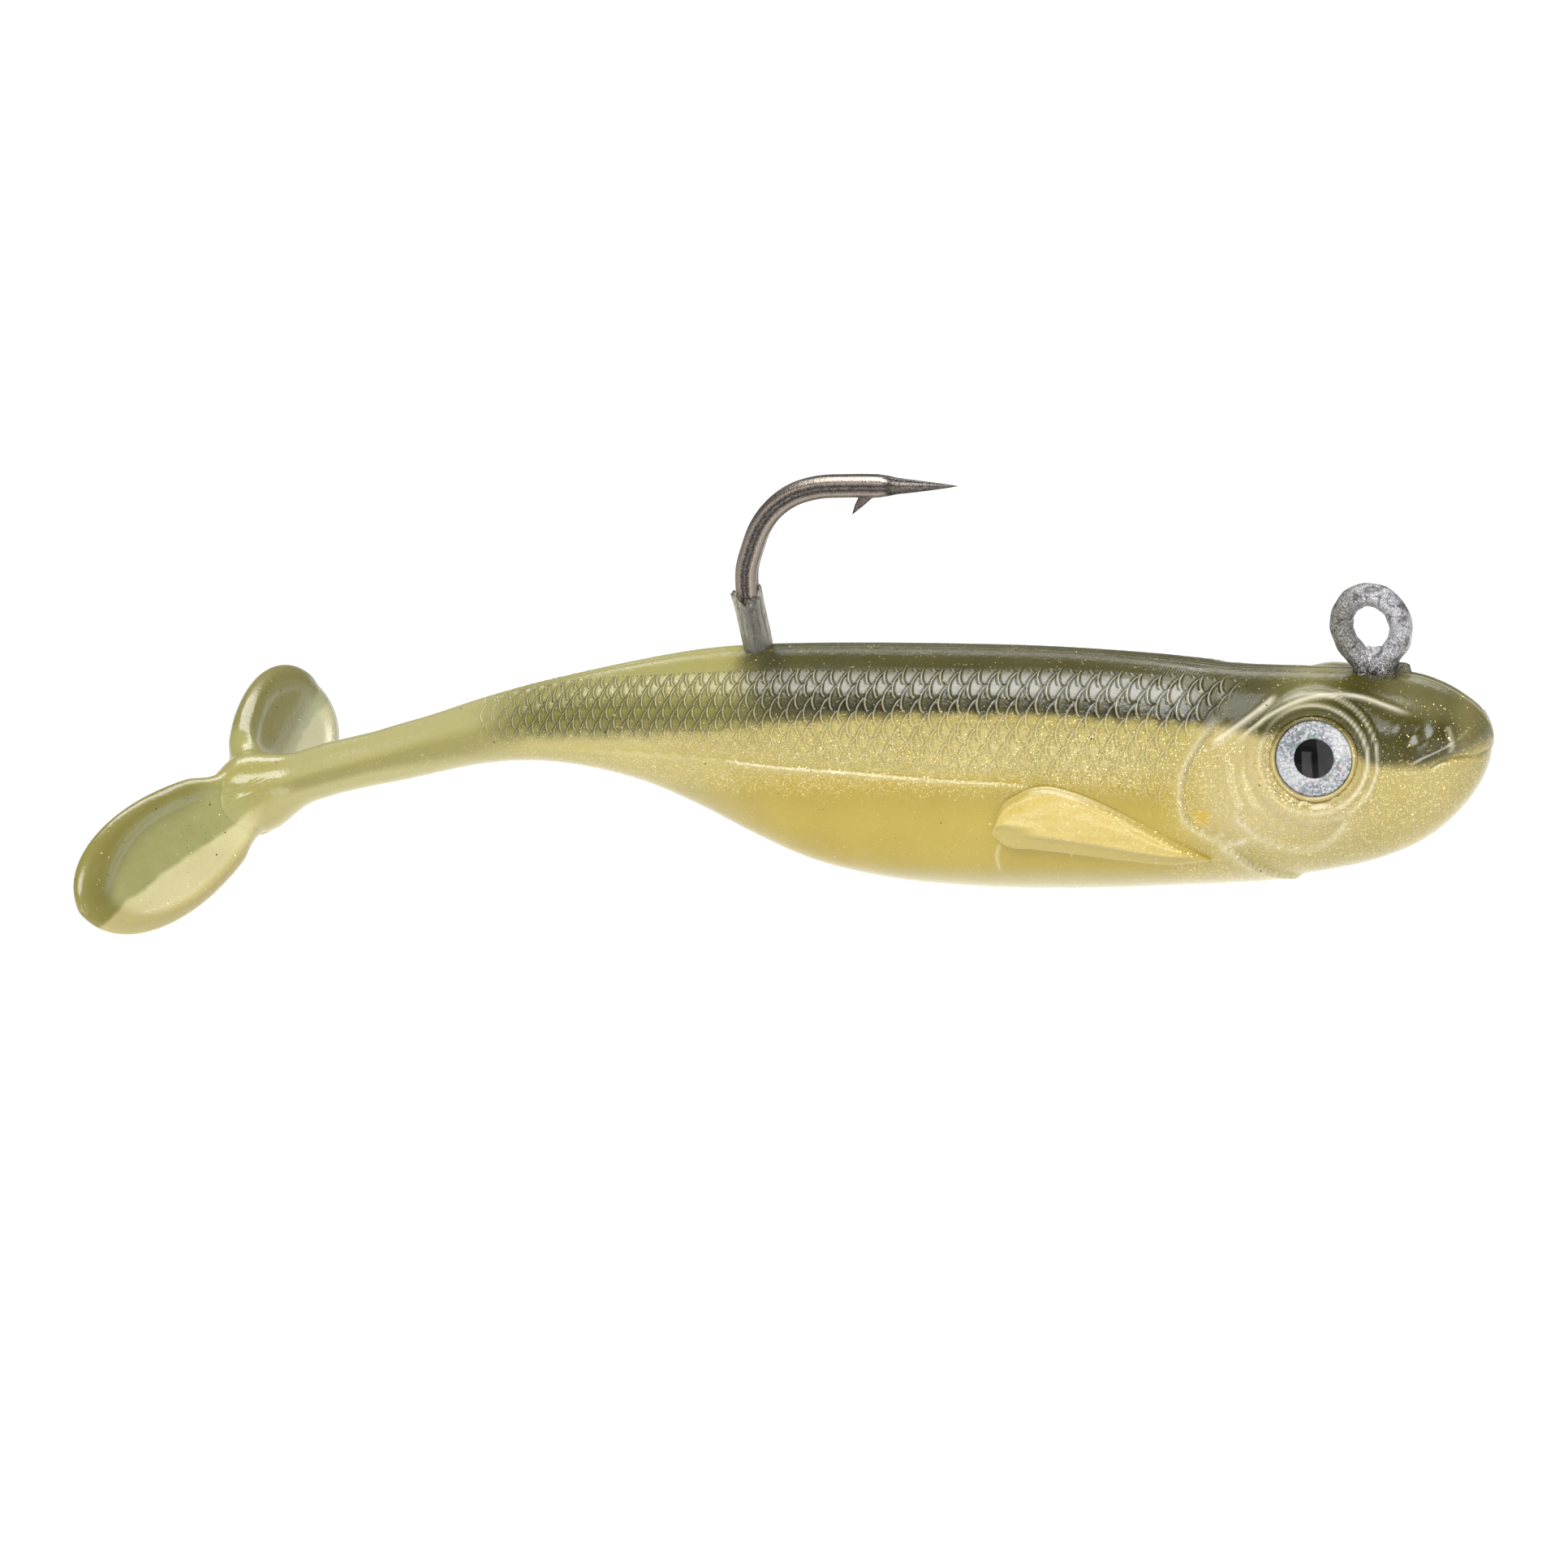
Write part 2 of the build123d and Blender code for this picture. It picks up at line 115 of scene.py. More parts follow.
# ------------------------------------------------------------------ meshes
def new_mesh(name, points, faces, attributes=None, weld=False):
    """A smooth-shaded mesh from datum points, with point attributes and the rest place for the paint."""
    points = np.asarray(points, float)
    mesh = bpy.data.meshes.new(name)
    mesh.from_pydata(at(points).tolist(), [], faces)
    mesh.update()
    rest = mesh.attributes.new("rest", "FLOAT_VECTOR", "POINT")
    rest.data.foreach_set("vector", points.astype(np.float32).ravel())
    for key, values in (attributes or {}).items():
        layer = mesh.attributes.new(key, "FLOAT", "POINT")
        layer.data.foreach_set("value", np.asarray(values, np.float32).ravel())
    mesh.polygons.foreach_set("use_smooth", [True] * len(mesh.polygons))
    piece = bpy.data.objects.new(name, mesh)
    bpy.context.scene.collection.objects.link(piece)
    bm = bmesh.new()
    bm.from_mesh(mesh)
    if weld:
        bmesh.ops.remove_doubles(bm, verts=bm.verts, dist=1e-7)
    bmesh.ops.recalc_face_normals(bm, faces=bm.faces)
    bm.to_mesh(mesh)
    bm.free()
    return piece


def band_faces(rings, count, closed=False):
    """Quads between neighbouring rings; closed joins the last ring to the first."""
    faces = []
    for i in range(rings if closed else rings - 1):
        a = i * count
        b = (i + 1) % rings * count
        for k in range(count):
            n = (k + 1) % count
            faces.append((a + k, b + k, b + n, a + n))
    return faces


def tube_faces(rings, count):
    """Quads over a tube of rings, closed at both ends by a fan to a pole vertex."""
    total = rings * count
    last = total - count
    start = [(total, k, (k + 1) % count) for k in range(count)]
    end = [(total + 1, last + (k + 1) % count, last + k) for k in range(count)]
    return band_faces(rings, count) + start + end


def sharpen(piece, degrees):
    piece.data.set_sharp_from_angle(angle=math.radians(degrees))


def looped(half):
    """Values on one face of a piece, carried round its whole loop and on to its two poles."""
    both = np.concatenate([half, half[:, -2:0:-1]], axis=1)
    return np.r_[both.ravel(), both[0].mean(), both[-1].mean()]


def swept(name, path, a, b, press=1.0, count=32, side=(0, 1, 0), rough=None):
    """A closed bar along path. a is its half size in the path's plane, b the half size along side.

    press is 1 for round wire; above 1 the four sides are pressed flat."""
    path = np.asarray(path, float)
    n = len(path)
    a = np.broadcast_to(a, n)
    b = np.broadcast_to(b, n)
    press = np.broadcast_to(press, n)[:, None]
    tangent = unit(np.gradient(path, axis=0))
    side = np.broadcast_to(np.asarray(side, float), (n, 3))
    across = unit(side - tangent * np.sum(side * tangent, axis=1, keepdims=True))
    normal = np.cross(across, tangent)
    angle = turns(count)
    u = np.clip(press * np.cos(angle)[None, :], -1.0, 1.0)
    v = np.clip(press * np.sin(angle)[None, :], -1.0, 1.0)
    grow = np.ones((n, count)) if rough is None else rough(n, count)
    rings = path[:, None, :] + normal[:, None, :] * (u * a[:, None] * grow)[..., None]
    rings = rings + across[:, None, :] * (v * b[:, None] * grow)[..., None]
    points = np.vstack([rings.reshape(-1, 3), path[:1], path[-1:]])
    corner = np.abs(u * v) * (press - 1.0) / 0.12
    return new_mesh(name, points, tube_faces(n, count), {"edge": np.r_[corner.ravel(), 0.0, 0.0]})


# ------------------------------------------------------------------ body shape
# place along the body, side shift, top, bottom, half width, squareness, back narrowing
STATIONS = np.array([
    (-38.5, -0.42, 2.85, -1.15, 2.00, 2.0, 0.02),
    (-36.0, -0.35, 3.60, -0.60, 1.95, 2.0, 0.02),
    (-32.0, -0.25, 4.55, 0.15, 1.95, 2.0, 0.03),
    (-28.0, -0.17, 5.58, 1.02, 2.05, 2.0, 0.03),
    (-24.0, -0.10, 6.80, 1.80, 2.30, 2.0, 0.04),
    (-20.0, -0.05, 7.85, 2.15, 2.60, 2.1, 0.06),
    (-17.1, 0.00, 8.50, 2.00, 2.90, 2.15, 0.08),
    (-14.0, 0.00, 9.20, 1.50, 3.20, 2.2, 0.10),
    (-10.0, 0.00, 9.98, 0.40, 3.70, 2.25, 0.12),
    (-6.0, 0.00, 10.62, -1.40, 4.20, 2.3, 0.12),
    (-2.0, 0.00, 10.98, -3.60, 4.70, 2.3, 0.12),
    (2.0, 0.00, 11.08, -5.50, 5.10, 2.3, 0.12),
    (8.0, 0.00, 11.08, -7.05, 5.35, 2.3, 0.12),
    (14.0, 0.00, 10.98, -7.70, 5.50, 2.3, 0.12),
    (22.0, 0.00, 10.70, -7.90, 5.50, 2.3, 0.12),
    (30.0, 0.00, 10.05, -7.60, 5.50, 2.3, 0.12),
    (36.0, 0.00, 9.30, -7.10, 5.65, 2.25, 0.12),
    (42.0, 0.00, 9.05, -6.30, 5.60, 2.2, 0.12),
    (47.0, 0.00, 8.86, -5.15, 5.05, 2.2, 0.12),
    (50.5, 0.00, 8.30, -3.50, 4.25, 2.2, 0.12),
    (53.0, 0.00, 7.05, -1.25, 3.20, 2.2, 0.12),
    (54.6, 0.00, 5.65, 0.80, 2.00, 2.1, 0.10),
    (55.25, 0.00, 3.75, 3.25, 0.03, 2.0, 0.10),
])
step_len = np.hypot(np.diff(STATIONS[:, 0]), np.diff(0.5 * (STATIONS[:, 2] - STATIONS[:, 3])))
RUN = np.r_[0.0, np.cumsum(step_len)]
ghost = STATIONS[-2] * np.array((1, 1, 1, 1, -1, 1, 1))
ghost[2], ghost[3] = STATIONS[-2][3], STATIONS[-2][2]
SHAPE = np.vstack([STATIONS, ghost])
SHAPE_RUN = np.r_[RUN, RUN[-1] + step_len[-1]]


def shape_at(run):
    """The seven station values at a distance along the body."""
    return [spline(SHAPE_RUN, SHAPE[:, i], run) for i in range(SHAPE.shape[1])]


DENSE_RUN = np.linspace(0.0, RUN[-1], 2400)
DENSE_X = np.maximum.accumulate(shape_at(DENSE_RUN)[0])


def run_at(x):
    return np.interp(x, DENSE_X, DENSE_RUN)


def spaced(start, end, step):
    return np.linspace(start, end, max(2, int(round((end - start) / step)) + 1))[:-1]


SCALE_STEP = 0.186
HEAD_STEP = 0.23
columns = np.r_[
    run_at(spaced(-38.5, -23.0, 0.42)),
    run_at(spaced(-23.0, 35.5, SCALE_STEP)),
    spaced(run_at(35.5), RUN[-1] - 0.05, HEAD_STEP),
    RUN[-1] - 0.05,
]
# share of the half girth, from the keel to the crest
rows = np.r_[
    0.0,
    np.linspace(0.006, 0.50, 33)[:-1],
    np.linspace(0.50, 0.87, 61)[:-1],
    np.linspace(0.87, 0.988, 10)[:-1],
    np.array((0.988, 0.9935, 0.997, 1.0)),
]
N_COL = len(columns)
N_ROW = len(rows)

sx, sy, s_top, s_bot, s_half, s_pow, s_nar = shape_at(columns)
angles = np.radians(np.linspace(-90.0, 90.0, 721))
ca = np.abs(np.cos(angles))[None, :]
sa = np.sin(angles)[None, :]
u = ca ** (2.0 / s_pow[:, None])
v = np.sign(sa) * np.abs(sa) ** (2.0 / s_pow[:, None])
out_y = s_half[:, None] * u * (1.0 - s_nar[:, None] * v)
out_z = 0.5 * (s_top + s_bot)[:, None] + 0.5 * (s_top - s_bot)[:, None] * v
leg = np.hypot(np.diff(out_y, axis=1), np.diff(out_z, axis=1))
girth = np.concatenate([np.zeros((N_COL, 1)), np.cumsum(leg, axis=1)], axis=1)
ARC = rows * girth[:, -1:]
HALF = np.zeros((N_COL, N_ROW, 3))
HALF[..., 0] = sx[:, None]
for i in range(N_COL):
    HALF[i, :, 1] = np.interp(ARC[i], girth[i], out_y[i])
    HALF[i, :, 2] = np.interp(ARC[i], girth[i], out_z[i])
HALF[:, (0, -1), 1] = 0.0


def grid_normals(grid):
    """Outward normals of the half skin, which lies on the +Y side."""
    along = np.gradient(grid, axis=0)
    around = np.gradient(grid, axis=1)
    n = unit(np.cross(along, around))
    flip = np.sign(np.sum(n[:, N_ROW // 2, 1]))
    n = n * flip
    n[:, (0, -1), 1] = 0.0
    return unit(n)


NORMAL = grid_normals(HALF)
X, Y, Z = np.moveaxis(HALF, -1, 0)


def line_distance(points):
    """From every skin point to a line on the flank in x and z: the distance, the side of it, and the share along it."""
    best = np.full(X.shape, 1e9)
    sign = np.ones(X.shape)
    share = np.zeros(X.shape)
    total = np.sum(np.hypot(*np.diff(points, axis=0).T))
    done = 0.0
    for p, q in zip(points[:-1], points[1:]):
        d = q - p
        length = math.hypot(*d)
        t = clamp01(((X - p[0]) * d[0] + (Z - p[1]) * d[1]) / length**2)
        ex = X - p[0] - t * d[0]
        ez = Z - p[1] - t * d[1]
        dist = np.hypot(ex, ez)
        near = dist < best
        best = np.where(near, dist, best)
        sign = np.where(near, np.sign(d[0] * (Z - p[1]) - d[1] * (X - p[0])), sign)
        share = np.where(near, (done + t * length) / total, share)
        done += length
    return best, sign, share


def curved(points, count=40):
    """A smooth line through a few points."""
    points = np.asarray(points, float)
    run = np.r_[0.0, np.cumsum(np.linalg.norm(np.diff(points, axis=0), axis=1))]
    t = np.linspace(0.0, run[-1], count)
    return np.stack([spline(run, column, t) for column in points.T], axis=1)


def bell(x, centre, width):
    """1 at the centre, falling away on both sides."""
    return np.exp(-(((x - centre) / width) ** 2))


FLANK = smooth(0.3, 1.2, Y)


def faded(share, taper):
    """Fades a line out at both its ends, and off the keel and the crest."""
    return smooth(0.0, taper, share) * smooth(1.0, 1.0 - taper, share) * FLANK


def ridge(points, height, width, taper=0.12):
    """A rounded welt along a line; negative height gives a groove."""
    dist, _, share = line_distance(curved(points))
    return height * bell(dist, 0.0, width) * faded(share, taper)


def plate(points, height, fall, taper=0.1, edge=0.22):
    """A plate that stands proud along a line and sinks away over its fall, on the line's left side."""
    dist, sign, share = line_distance(curved(points))
    rise = smooth(-edge, 0.0, dist * sign)
    return height * rise * np.exp(-np.maximum(dist * sign, 0.0) / fall) * faded(share, taper)


# ---- scales ----
SCALE_TOP_LINE = [
    (-24, 6.7), (-21, 7.3), (-15.6, 8.25), (-8, 8.9), (-2, 9.2), (10.7, 9.2), (23, 9.0), (32, 8.5), (38, 8.1),
]
CREASE_LINE = [
    (-26, 3.6), (-18, 4.0), (-12, 4.0), (-5, 3.8), (1, 3.3), (7.4, 2.9), (13.7, 2.4), (21.2, 1.9), (30, 0.2),
    (36, -0.6),
]
GILL_LIMIT = [(-3, 33.0), (0.9, 32.4), (4.3, 33.3), (6.9, 35.6), (8.5, 37.5)]      # height, rear edge of the gill cover
SCALE_HEIGHT = 0.10
ROW_RATIO = 0.72            # row spacing over the spacing along a row
SCALE_REACH = 0.70          # how far a scale's free edge bows towards the tail, in pitches
SCALE_TALL = 1.25           # half height of that bow, in rows
SCALE_LEAN = 0.16           # lean of the bow's top towards the nose


def of_line(line, x):
    line = np.asarray(line, float)
    return spline(line[:, 0], line[:, 1], x)


top_z = of_line(SCALE_TOP_LINE, sx)
crease_z = of_line(CREASE_LINE, sx)
pitch = 1.12 + 0.42 * smooth(-20.0, 26.0, sx)
cell_x = np.r_[0.0, np.cumsum(np.diff(sx) / (0.5 * (pitch[1:] + pitch[:-1])))]
arc_top = np.array([np.interp(top_z[i], HALF[i, :, 2], ARC[i]) for i in range(N_COL)])
CX = np.repeat(cell_x[:, None], N_ROW, axis=1)
CV = (arc_top[:, None] - ARC) / (ROW_RATIO * pitch[:, None])


def scale_cells(u, v):
    """How far each place lies ahead of its own scale's free edge, and behind the next edge, in pitches."""
    top = np.full(u.shape, -1e9)
    ahead = np.zeros(u.shape)
    behind = np.ones(u.shape)
    first = np.floor(v)
    for k in (0, 1, 2):
        row = first + k
        dv = v - row
        shift = 0.5 * np.mod(row, 2.0)
        bow = SCALE_REACH * np.sqrt(np.maximum(1.0 - (dv / SCALE_TALL) ** 2, 0.0))
        t = u - shift + bow + SCALE_LEAN * dv
        f = t - np.floor(t)
        centre = np.floor(t) + shift
        there = np.abs(dv) < SCALE_TALL
        over = there & (centre > top)
        ahead = np.where(over, f, ahead)
        top = np.where(over, centre, top)
        behind = np.where(there, np.minimum(behind, 1.0 - f), behind)
    return ahead, behind


ahead, behind = scale_cells(CX, CV)
scale_h = smooth(0.0, 0.12, ahead) * (1.0 - 0.75 * smooth(0.12, 0.9, ahead))
over_crease = smooth(0.2, 1.4, Z - crease_z[:, None])
before_gill = smooth(0.0, 1.3, np.interp(Z, *zip(*GILL_LIMIT)) - X)
from_tail = smooth(-24.5, -17.0, X)
softening = 1.0 - 0.45 * smooth(3.0, 5.5, CV)
SCALES = over_crease * before_gill * from_tail * softening * smooth(-1.25, -1.0, CV)
relief = SCALE_HEIGHT * (scale_h - 0.4) * SCALES

# ---- the ledge along the top of the belly ----
above = Z - crease_z[:, None]
ledge = -0.22 * smooth(-0.14, 0.12, above) * np.exp(-np.maximum(above, 0.0) / 1.6)
relief += ledge * smooth(-22.0, -10.0, X) * smooth(24.0, 18.0, X) * FLANK

# ---- gill cover, throat, cheek, brow, nostril, mouth ----
GILL_EDGE = [
    (38.3, -2.2), (35.6, -2.1), (34.0, -1.5), (33.0, -0.6), (32.8, 0.9), (33.1, 2.9), (33.9, 4.4), (35.0, 5.8),
    (36.6, 7.0),
]
THROAT_EDGE = [(40.6, -6.2), (38.8, -5.4), (37.4, -4.3), (36.4, -3.0), (35.2, -2.2)]
CHEEK_EDGE = [
    (45.3, -0.4), (44.4, -1.6), (42.9, -2.7), (41.3, -3.0), (39.9, -2.7), (38.6, -2.0), (37.5, -0.9), (36.4, 0.2),
]
SNOUT_EDGE = [(54.6, 5.3), (53.3, 4.4), (52.2, 3.9), (50.6, 3.3), (49.6, 2.7)]
BROW_LINE = [(36.9, 5.0), (38.2, 5.9), (39.9, 7.0), (42.3, 7.85), (44.6, 8.0), (46.4, 7.8), (48.4, 7.2), (50.4, 6.5)]
BEHIND_BROW = [(36.6, 5.8), (38.4, 6.9), (40.2, 8.1)]
MOUTH_LINE = [(55.8, 3.0), (54.6, 3.05), (53.2, 3.2), (52.2, 3.1), (51.2, 2.6)]
MOUTH_FOLD = [(52.6, 5.6), (52.9, 4.6), (52.8, 3.6)]
FIN_ROOT_FOLD = [(18.3, -2.6), (17.9, -3.8), (17.9, -5.2)]
for edge, height, fall in (
    (GILL_EDGE, 0.38, 2.6),
    (THROAT_EDGE, 0.36, 2.2),
    (CHEEK_EDGE, 0.26, 2.2),
    (SNOUT_EDGE, 0.20, 1.2),
):
    relief += plate(edge, height, fall)
for line, height, width in (
    ([(35.0, 4.9), *BEHIND_BROW], 0.26, 0.20),
    ([(36.3, 4.2), (36.6, 1.4), (37.3, -0.4)], 0.14, 0.45),
    ([(37.6, 4.6), (37.6, 2.0), (38.4, -0.4)], 0.10, 0.40),
    (BROW_LINE, 0.24, 0.20),
    ([(45.5, 6.9), (47.5, 6.6), (49.6, 5.9)], -0.16, 0.7),
    ([(54.6, 4.0), (53.2, 4.3), (52.5, 3.9)], 0.10, 0.5),
    (MOUTH_FOLD, 0.07, 0.22),
    (FIN_ROOT_FOLD, 0.07, 0.16),
):
    relief += ridge(line, height, width)
relief += ridge(MOUTH_LINE, -0.24, 0.15, 0.10)
hollow = bell(X, 50.3, 0.7) * bell(Z, 5.3, 0.6) * FLANK
relief += 0.32 * bell(X, 51.6, 1.0) * bell(Z, 4.8, 0.85) * FLANK - 0.34 * hollow
# lower jaw sits back a little under the upper lip
relief += -0.16 * smooth(3.1, 2.8, Z) * smooth(53.0, 54.6, X)
# parting line where the mould closes, on the crest
crest = bell(Y, 0.0, 0.10) * smooth(0.9, 0.95, rows)[None, :]
relief += 0.085 * crest * smooth(-30.0, -20.0, X)

# painted highlights on the raised edges and ridges and along the belly crease, with a paler parting line on the head's
# crest; painted shade in the folds, grooves and hollows and below the raised edges
pale = plate(GILL_EDGE, 0.55, 0.22) + plate(THROAT_EDGE, 0.7, 0.25) + plate(CHEEK_EDGE, 0.5, 0.25)
pale += ridge(BROW_LINE, 0.9, 0.11) + ridge([(35.2, 5.0), *BEHIND_BROW], 0.8, 0.22)
pale += ridge(MOUTH_FOLD, 0.5, 0.14) + ridge(FIN_ROOT_FOLD, 0.4, 0.12)
# painted highlight on a thin band just below the belly crease
crease_lit = smooth(-0.45, -0.05, above) * smooth(0.04, -0.05, above)
pale += 0.30 * crease_lit * smooth(-16.0, -9.0, X) * smooth(24.0, 18.0, X) * FLANK
pale += 0.45 * crest * smooth(34.0, 52.0, X)
# painted shade in the mouth groove and the nostril hollow, under the brow, and below the gill, throat and cheek edges
dark = ridge(MOUTH_LINE, 0.3, 0.13, 0.10) + 0.55 * hollow
dark += ridge([(38.6, 5.6), (40.4, 6.5), (42.6, 7.2), (45.0, 7.3)], 0.5, 0.25)
dark += plate(GILL_EDGE[::-1], 0.35, 0.30) + plate(THROAT_EDGE[::-1], 0.35, 0.35) + plate(CHEEK_EDGE[::-1], 0.25, 0.30)

SKIN = HALF + NORMAL * relief[..., None]

# ---- eye seats: the skin is flattened round each eye and folded in rings ----
EYE_AT = np.array((43.0, 5.20, 3.94))
EYE_NORMAL = unit((0.13, 0.96, 0.20))
eye_x = unit(np.array((1.0, 0, 0)) - EYE_NORMAL * EYE_NORMAL[0])
eye_up = np.cross(eye_x, EYE_NORMAL)
eye_up = eye_up * np.sign(eye_up[2])


FOLD_TURN = 0.35            # how far above the nose side the folds round an eye are strongest, in radians
REAR_LOW = math.radians(215.0)


def folds(r, a):
    """Height of the ringed folds round an eye; a is the angle from the nose side, towards the top."""
    nose_side = 0.5 + 0.5 * np.cos(a - FOLD_TURN)
    rear_low = 0.5 + 0.5 * np.cos(a - REAR_LOW)
    first = 0.26 * bell(r, 4.0, 0.17) * (0.35 + 0.65 * nose_side)
    second = 0.20 * bell(r, 4.75, 0.15) * smooth(0.35, 0.9, nose_side)
    third = 0.22 * bell(r, 4.6, 0.22) * smooth(0.4, 0.95, rear_low)
    return first + second + third - 0.12 * bell(r, 3.5, 0.2)


rel = SKIN - EYE_AT
e_h = rel @ EYE_NORMAL
e_r = np.hypot(rel @ eye_x, rel @ eye_up)
e_a = np.arctan2(rel @ eye_up, rel @ eye_x)
same_side = smooth(1.0, 2.0, SKIN[..., 1])
seat = smooth(5.3, 3.9, e_r) * same_side
# painted highlights on the fold rings round the eye, strongest towards the nose and a little above
ring_highlight = bell(e_r, 4.0, 0.12) + 0.8 * bell(e_r, 4.75, 0.10)
pale += 0.85 * ring_highlight * same_side * (0.25 + 0.75 * smooth(-0.6, 0.8, np.cos(e_a - FOLD_TURN)))
# painted shade in the groove by the lens seat and between the folds
dark += 0.45 * bell(e_r, 3.6, 0.14) * same_side
dark += 0.4 * bell(e_r, 4.38, 0.12) * same_side * smooth(0.0, 0.8, np.cos(e_a - FOLD_TURN))
want_h = mix(e_h, -0.06, seat) + folds(e_r, e_a) * same_side * smooth(5.6, 5.1, e_r)
want_h = mix(want_h, -1.05, smooth(3.26, 3.02, e_r) * same_side)
SKIN = SKIN + EYE_NORMAL * (want_h - e_h)[..., None]

# ------------------------------------------------------------------ fluke frame
FLUKE_CENTRE = np.array((-43.1, -0.6, -0.6))
FLUKE_YAW = -6.4
FLUKE_ROLL = 6.9
FLUKE_TILT = 16.4
LOBE_PITCH = 39.7
LOBE_SWEEP = 12.9
LOBE_DROOP = 5.4
LOBE_MID = 9.0
LOBE_HALF_LENGTH = 10.7
LOBE_HALF_CHORD = 4.6
LOBE_TIP_FULLNESS = 0.18
WEB_HALF_CHORD = 2.5
LOBE_FILM = 0.46
ROOT_THICK = 1.35
# the left lobe is nearly level inside its trailing rim; the right lobe is dished
FILLED = {"left": 0.75, "right": 0.0}


def turned(v):
    """Turn by the fluke's roll, tilt and yaw."""
    m = Matrix.Rotation(math.radians(FLUKE_YAW), 3, "Z")
    m = m @ Matrix.Rotation(math.radians(FLUKE_TILT), 3, "Y")
    m = m @ Matrix.Rotation(math.radians(FLUKE_ROLL), 3, "X")
    return np.array(m @ Vector(v))


SPAN = {}
CHORD = {}
FACE = {}
back, droop, pitch_a = np.radians((LOBE_SWEEP, LOBE_DROOP, LOBE_PITCH))
for name, side in (("left", 1.0), ("right", -1.0)):
    span = unit((-math.sin(back), side * math.cos(back), -math.tan(droop)))
    chord = np.array((math.cos(pitch_a), 0.0, -math.sin(pitch_a)))
    SPAN[name] = turned(span)
    CHORD[name] = turned(unit(chord - span * (chord @ span)))
    face = np.cross(SPAN[name], CHORD[name])
    FACE[name] = face * np.sign(face[0])
across = unit(SPAN["left"] - SPAN["right"])
mid_chord = CHORD["left"] + CHORD["right"]
mid_chord = unit(mid_chord - across * (mid_chord @ across))
mid_face = np.cross(across, mid_chord)
mid_face = mid_face * np.sign(mid_face[0])


def lobe_half(s):
    """Half chord of a lobe at a distance out from the hub."""
    k = (s - LOBE_MID) / LOBE_HALF_LENGTH
    egg = LOBE_HALF_CHORD * np.sqrt(np.maximum(1.0 - k * k, 0.0)) * (1.0 + LOBE_TIP_FULLNESS * k)
    half = mix(WEB_HALF_CHORD - 0.1, egg, smooth(0.3, 4.6, s))
    stub = (WEB_HALF_CHORD - 0.1) * np.sqrt(np.maximum(1.0 - (s / 2.6) ** 2, 0.0))
    return np.where(s < 0.0, stub, half)


def lobe_thick(s, t, from_edge, filled=0.0):
    """Half thickness inside the rounded edge: a thick root and rim round a thin film."""
    root = smooth(6.8, 0.5, s)
    rear_rim = smooth(0.2, -0.6, t)
    rim = mix(mix(0.78, 1.08, rear_rim), ROOT_THICK, root)
    film = mix(LOBE_FILM, ROOT_THICK, root)
    film = mix(film, rim, filled * smooth(0.25, -0.25, t))
    return mix(rim, film, smooth(0.55 + 0.75 * rear_rim, 1.45 + 0.70 * rear_rim, from_edge))


STEM_AXIS = np.array([
    (-28, -0.17, 3.30), (-32, -0.25, 2.35), (-36, -0.35, 1.50), (-40, -0.48, 0.35), (-42.4, -0.57, -0.35),
])
STEM_RADIUS = np.array((2.15, 2.02, 2.02, 2.00, 1.90))


def soft_min(a, b, k):
    h = np.maximum(k - np.abs(a - b), 0.0) / k
    return np.minimum(a, b) - h * h * k * 0.25


def hub_field(p):
    """Distance outside the joined stem and lobes, with their fillets."""
    plates = []
    for name in ("left", "right"):
        rel = p - FLUKE_CENTRE
        s, t, w = rel @ SPAN[name], rel @ CHORD[name], rel @ FACE[name]
        half = lobe_half(s)
        out = np.abs(t) - half
        out = np.where(s < -2.0, np.maximum(out, -2.0 - s), out)
        thick = lobe_thick(s, t / np.maximum(half, 0.1), np.maximum(-out, 0.0), FILLED[name])
        q = out + thick
        plates.append(np.where(q > 0.0, np.hypot(q, w), np.abs(w)) - thick)
    plate = soft_min(plates[0], plates[1], 1.0)
    stem = np.full(len(p), 1e9)
    for i in range(len(STEM_AXIS) - 1):
        a, b = STEM_AXIS[i], STEM_AXIS[i + 1]
        d = b - a
        k = clamp01((p - a) @ d / (d @ d))
        radius = mix(STEM_RADIUS[i], STEM_RADIUS[i + 1], k)
        stem = np.minimum(stem, np.linalg.norm(p - a - k[:, None] * d, axis=1) - radius)
    return soft_min(plate, stem, 3.6)


def settle(points, weight, sink, steps=7):
    """Moves points onto the joined surface, or sink below it, by weight."""
    p = points.reshape(-1, 3).copy()
    weight = np.broadcast_to(weight, points.shape[:-1]).ravel()
    sink = np.broadcast_to(sink, points.shape[:-1]).ravel()
    active = weight > 0.001
    q = p[active]
    h = 0.02
    for _ in range(steps):
        f = hub_field(q) + sink[active]
        g = np.stack([hub_field(q + h * e) - hub_field(q - h * e) for e in np.eye(3)], axis=1) / (2 * h)
        g2 = np.maximum(np.sum(g * g, axis=1), 0.25)
        move = np.clip(f / g2, -0.6, 0.6)
        q = q - g * move[:, None]
    p[active] = mix(p[active], q, weight[active][:, None])
    return p.reshape(points.shape)


# ------------------------------------------------------------------ soft skin: trunk, stem and the root of the fluke
right_half = SKIN * np.array((1.0, -1.0, 1.0))
ring = np.concatenate([right_half, SKIN[:, -2:0:-1]], axis=1)
ring = ring + np.stack([0 * sy, sy, 0 * sy], axis=1)[:, None, :]
COUNT = ring.shape[1]
ring = settle(ring, smooth(-29.0, -34.0, ring[..., 0]), 0.0)

FLARE_RINGS = 16
FLARE_SPAN = 5.2
FLARE_CHORD = 3.3


def evened(points, times):
    """Points of closed rings, each drawn towards its neighbours so that none cross."""
    for _ in range(times):
        points = 0.25 * np.roll(points, 1, axis=-2) + 0.5 * points + 0.25 * np.roll(points, -1, axis=-2)
    return points


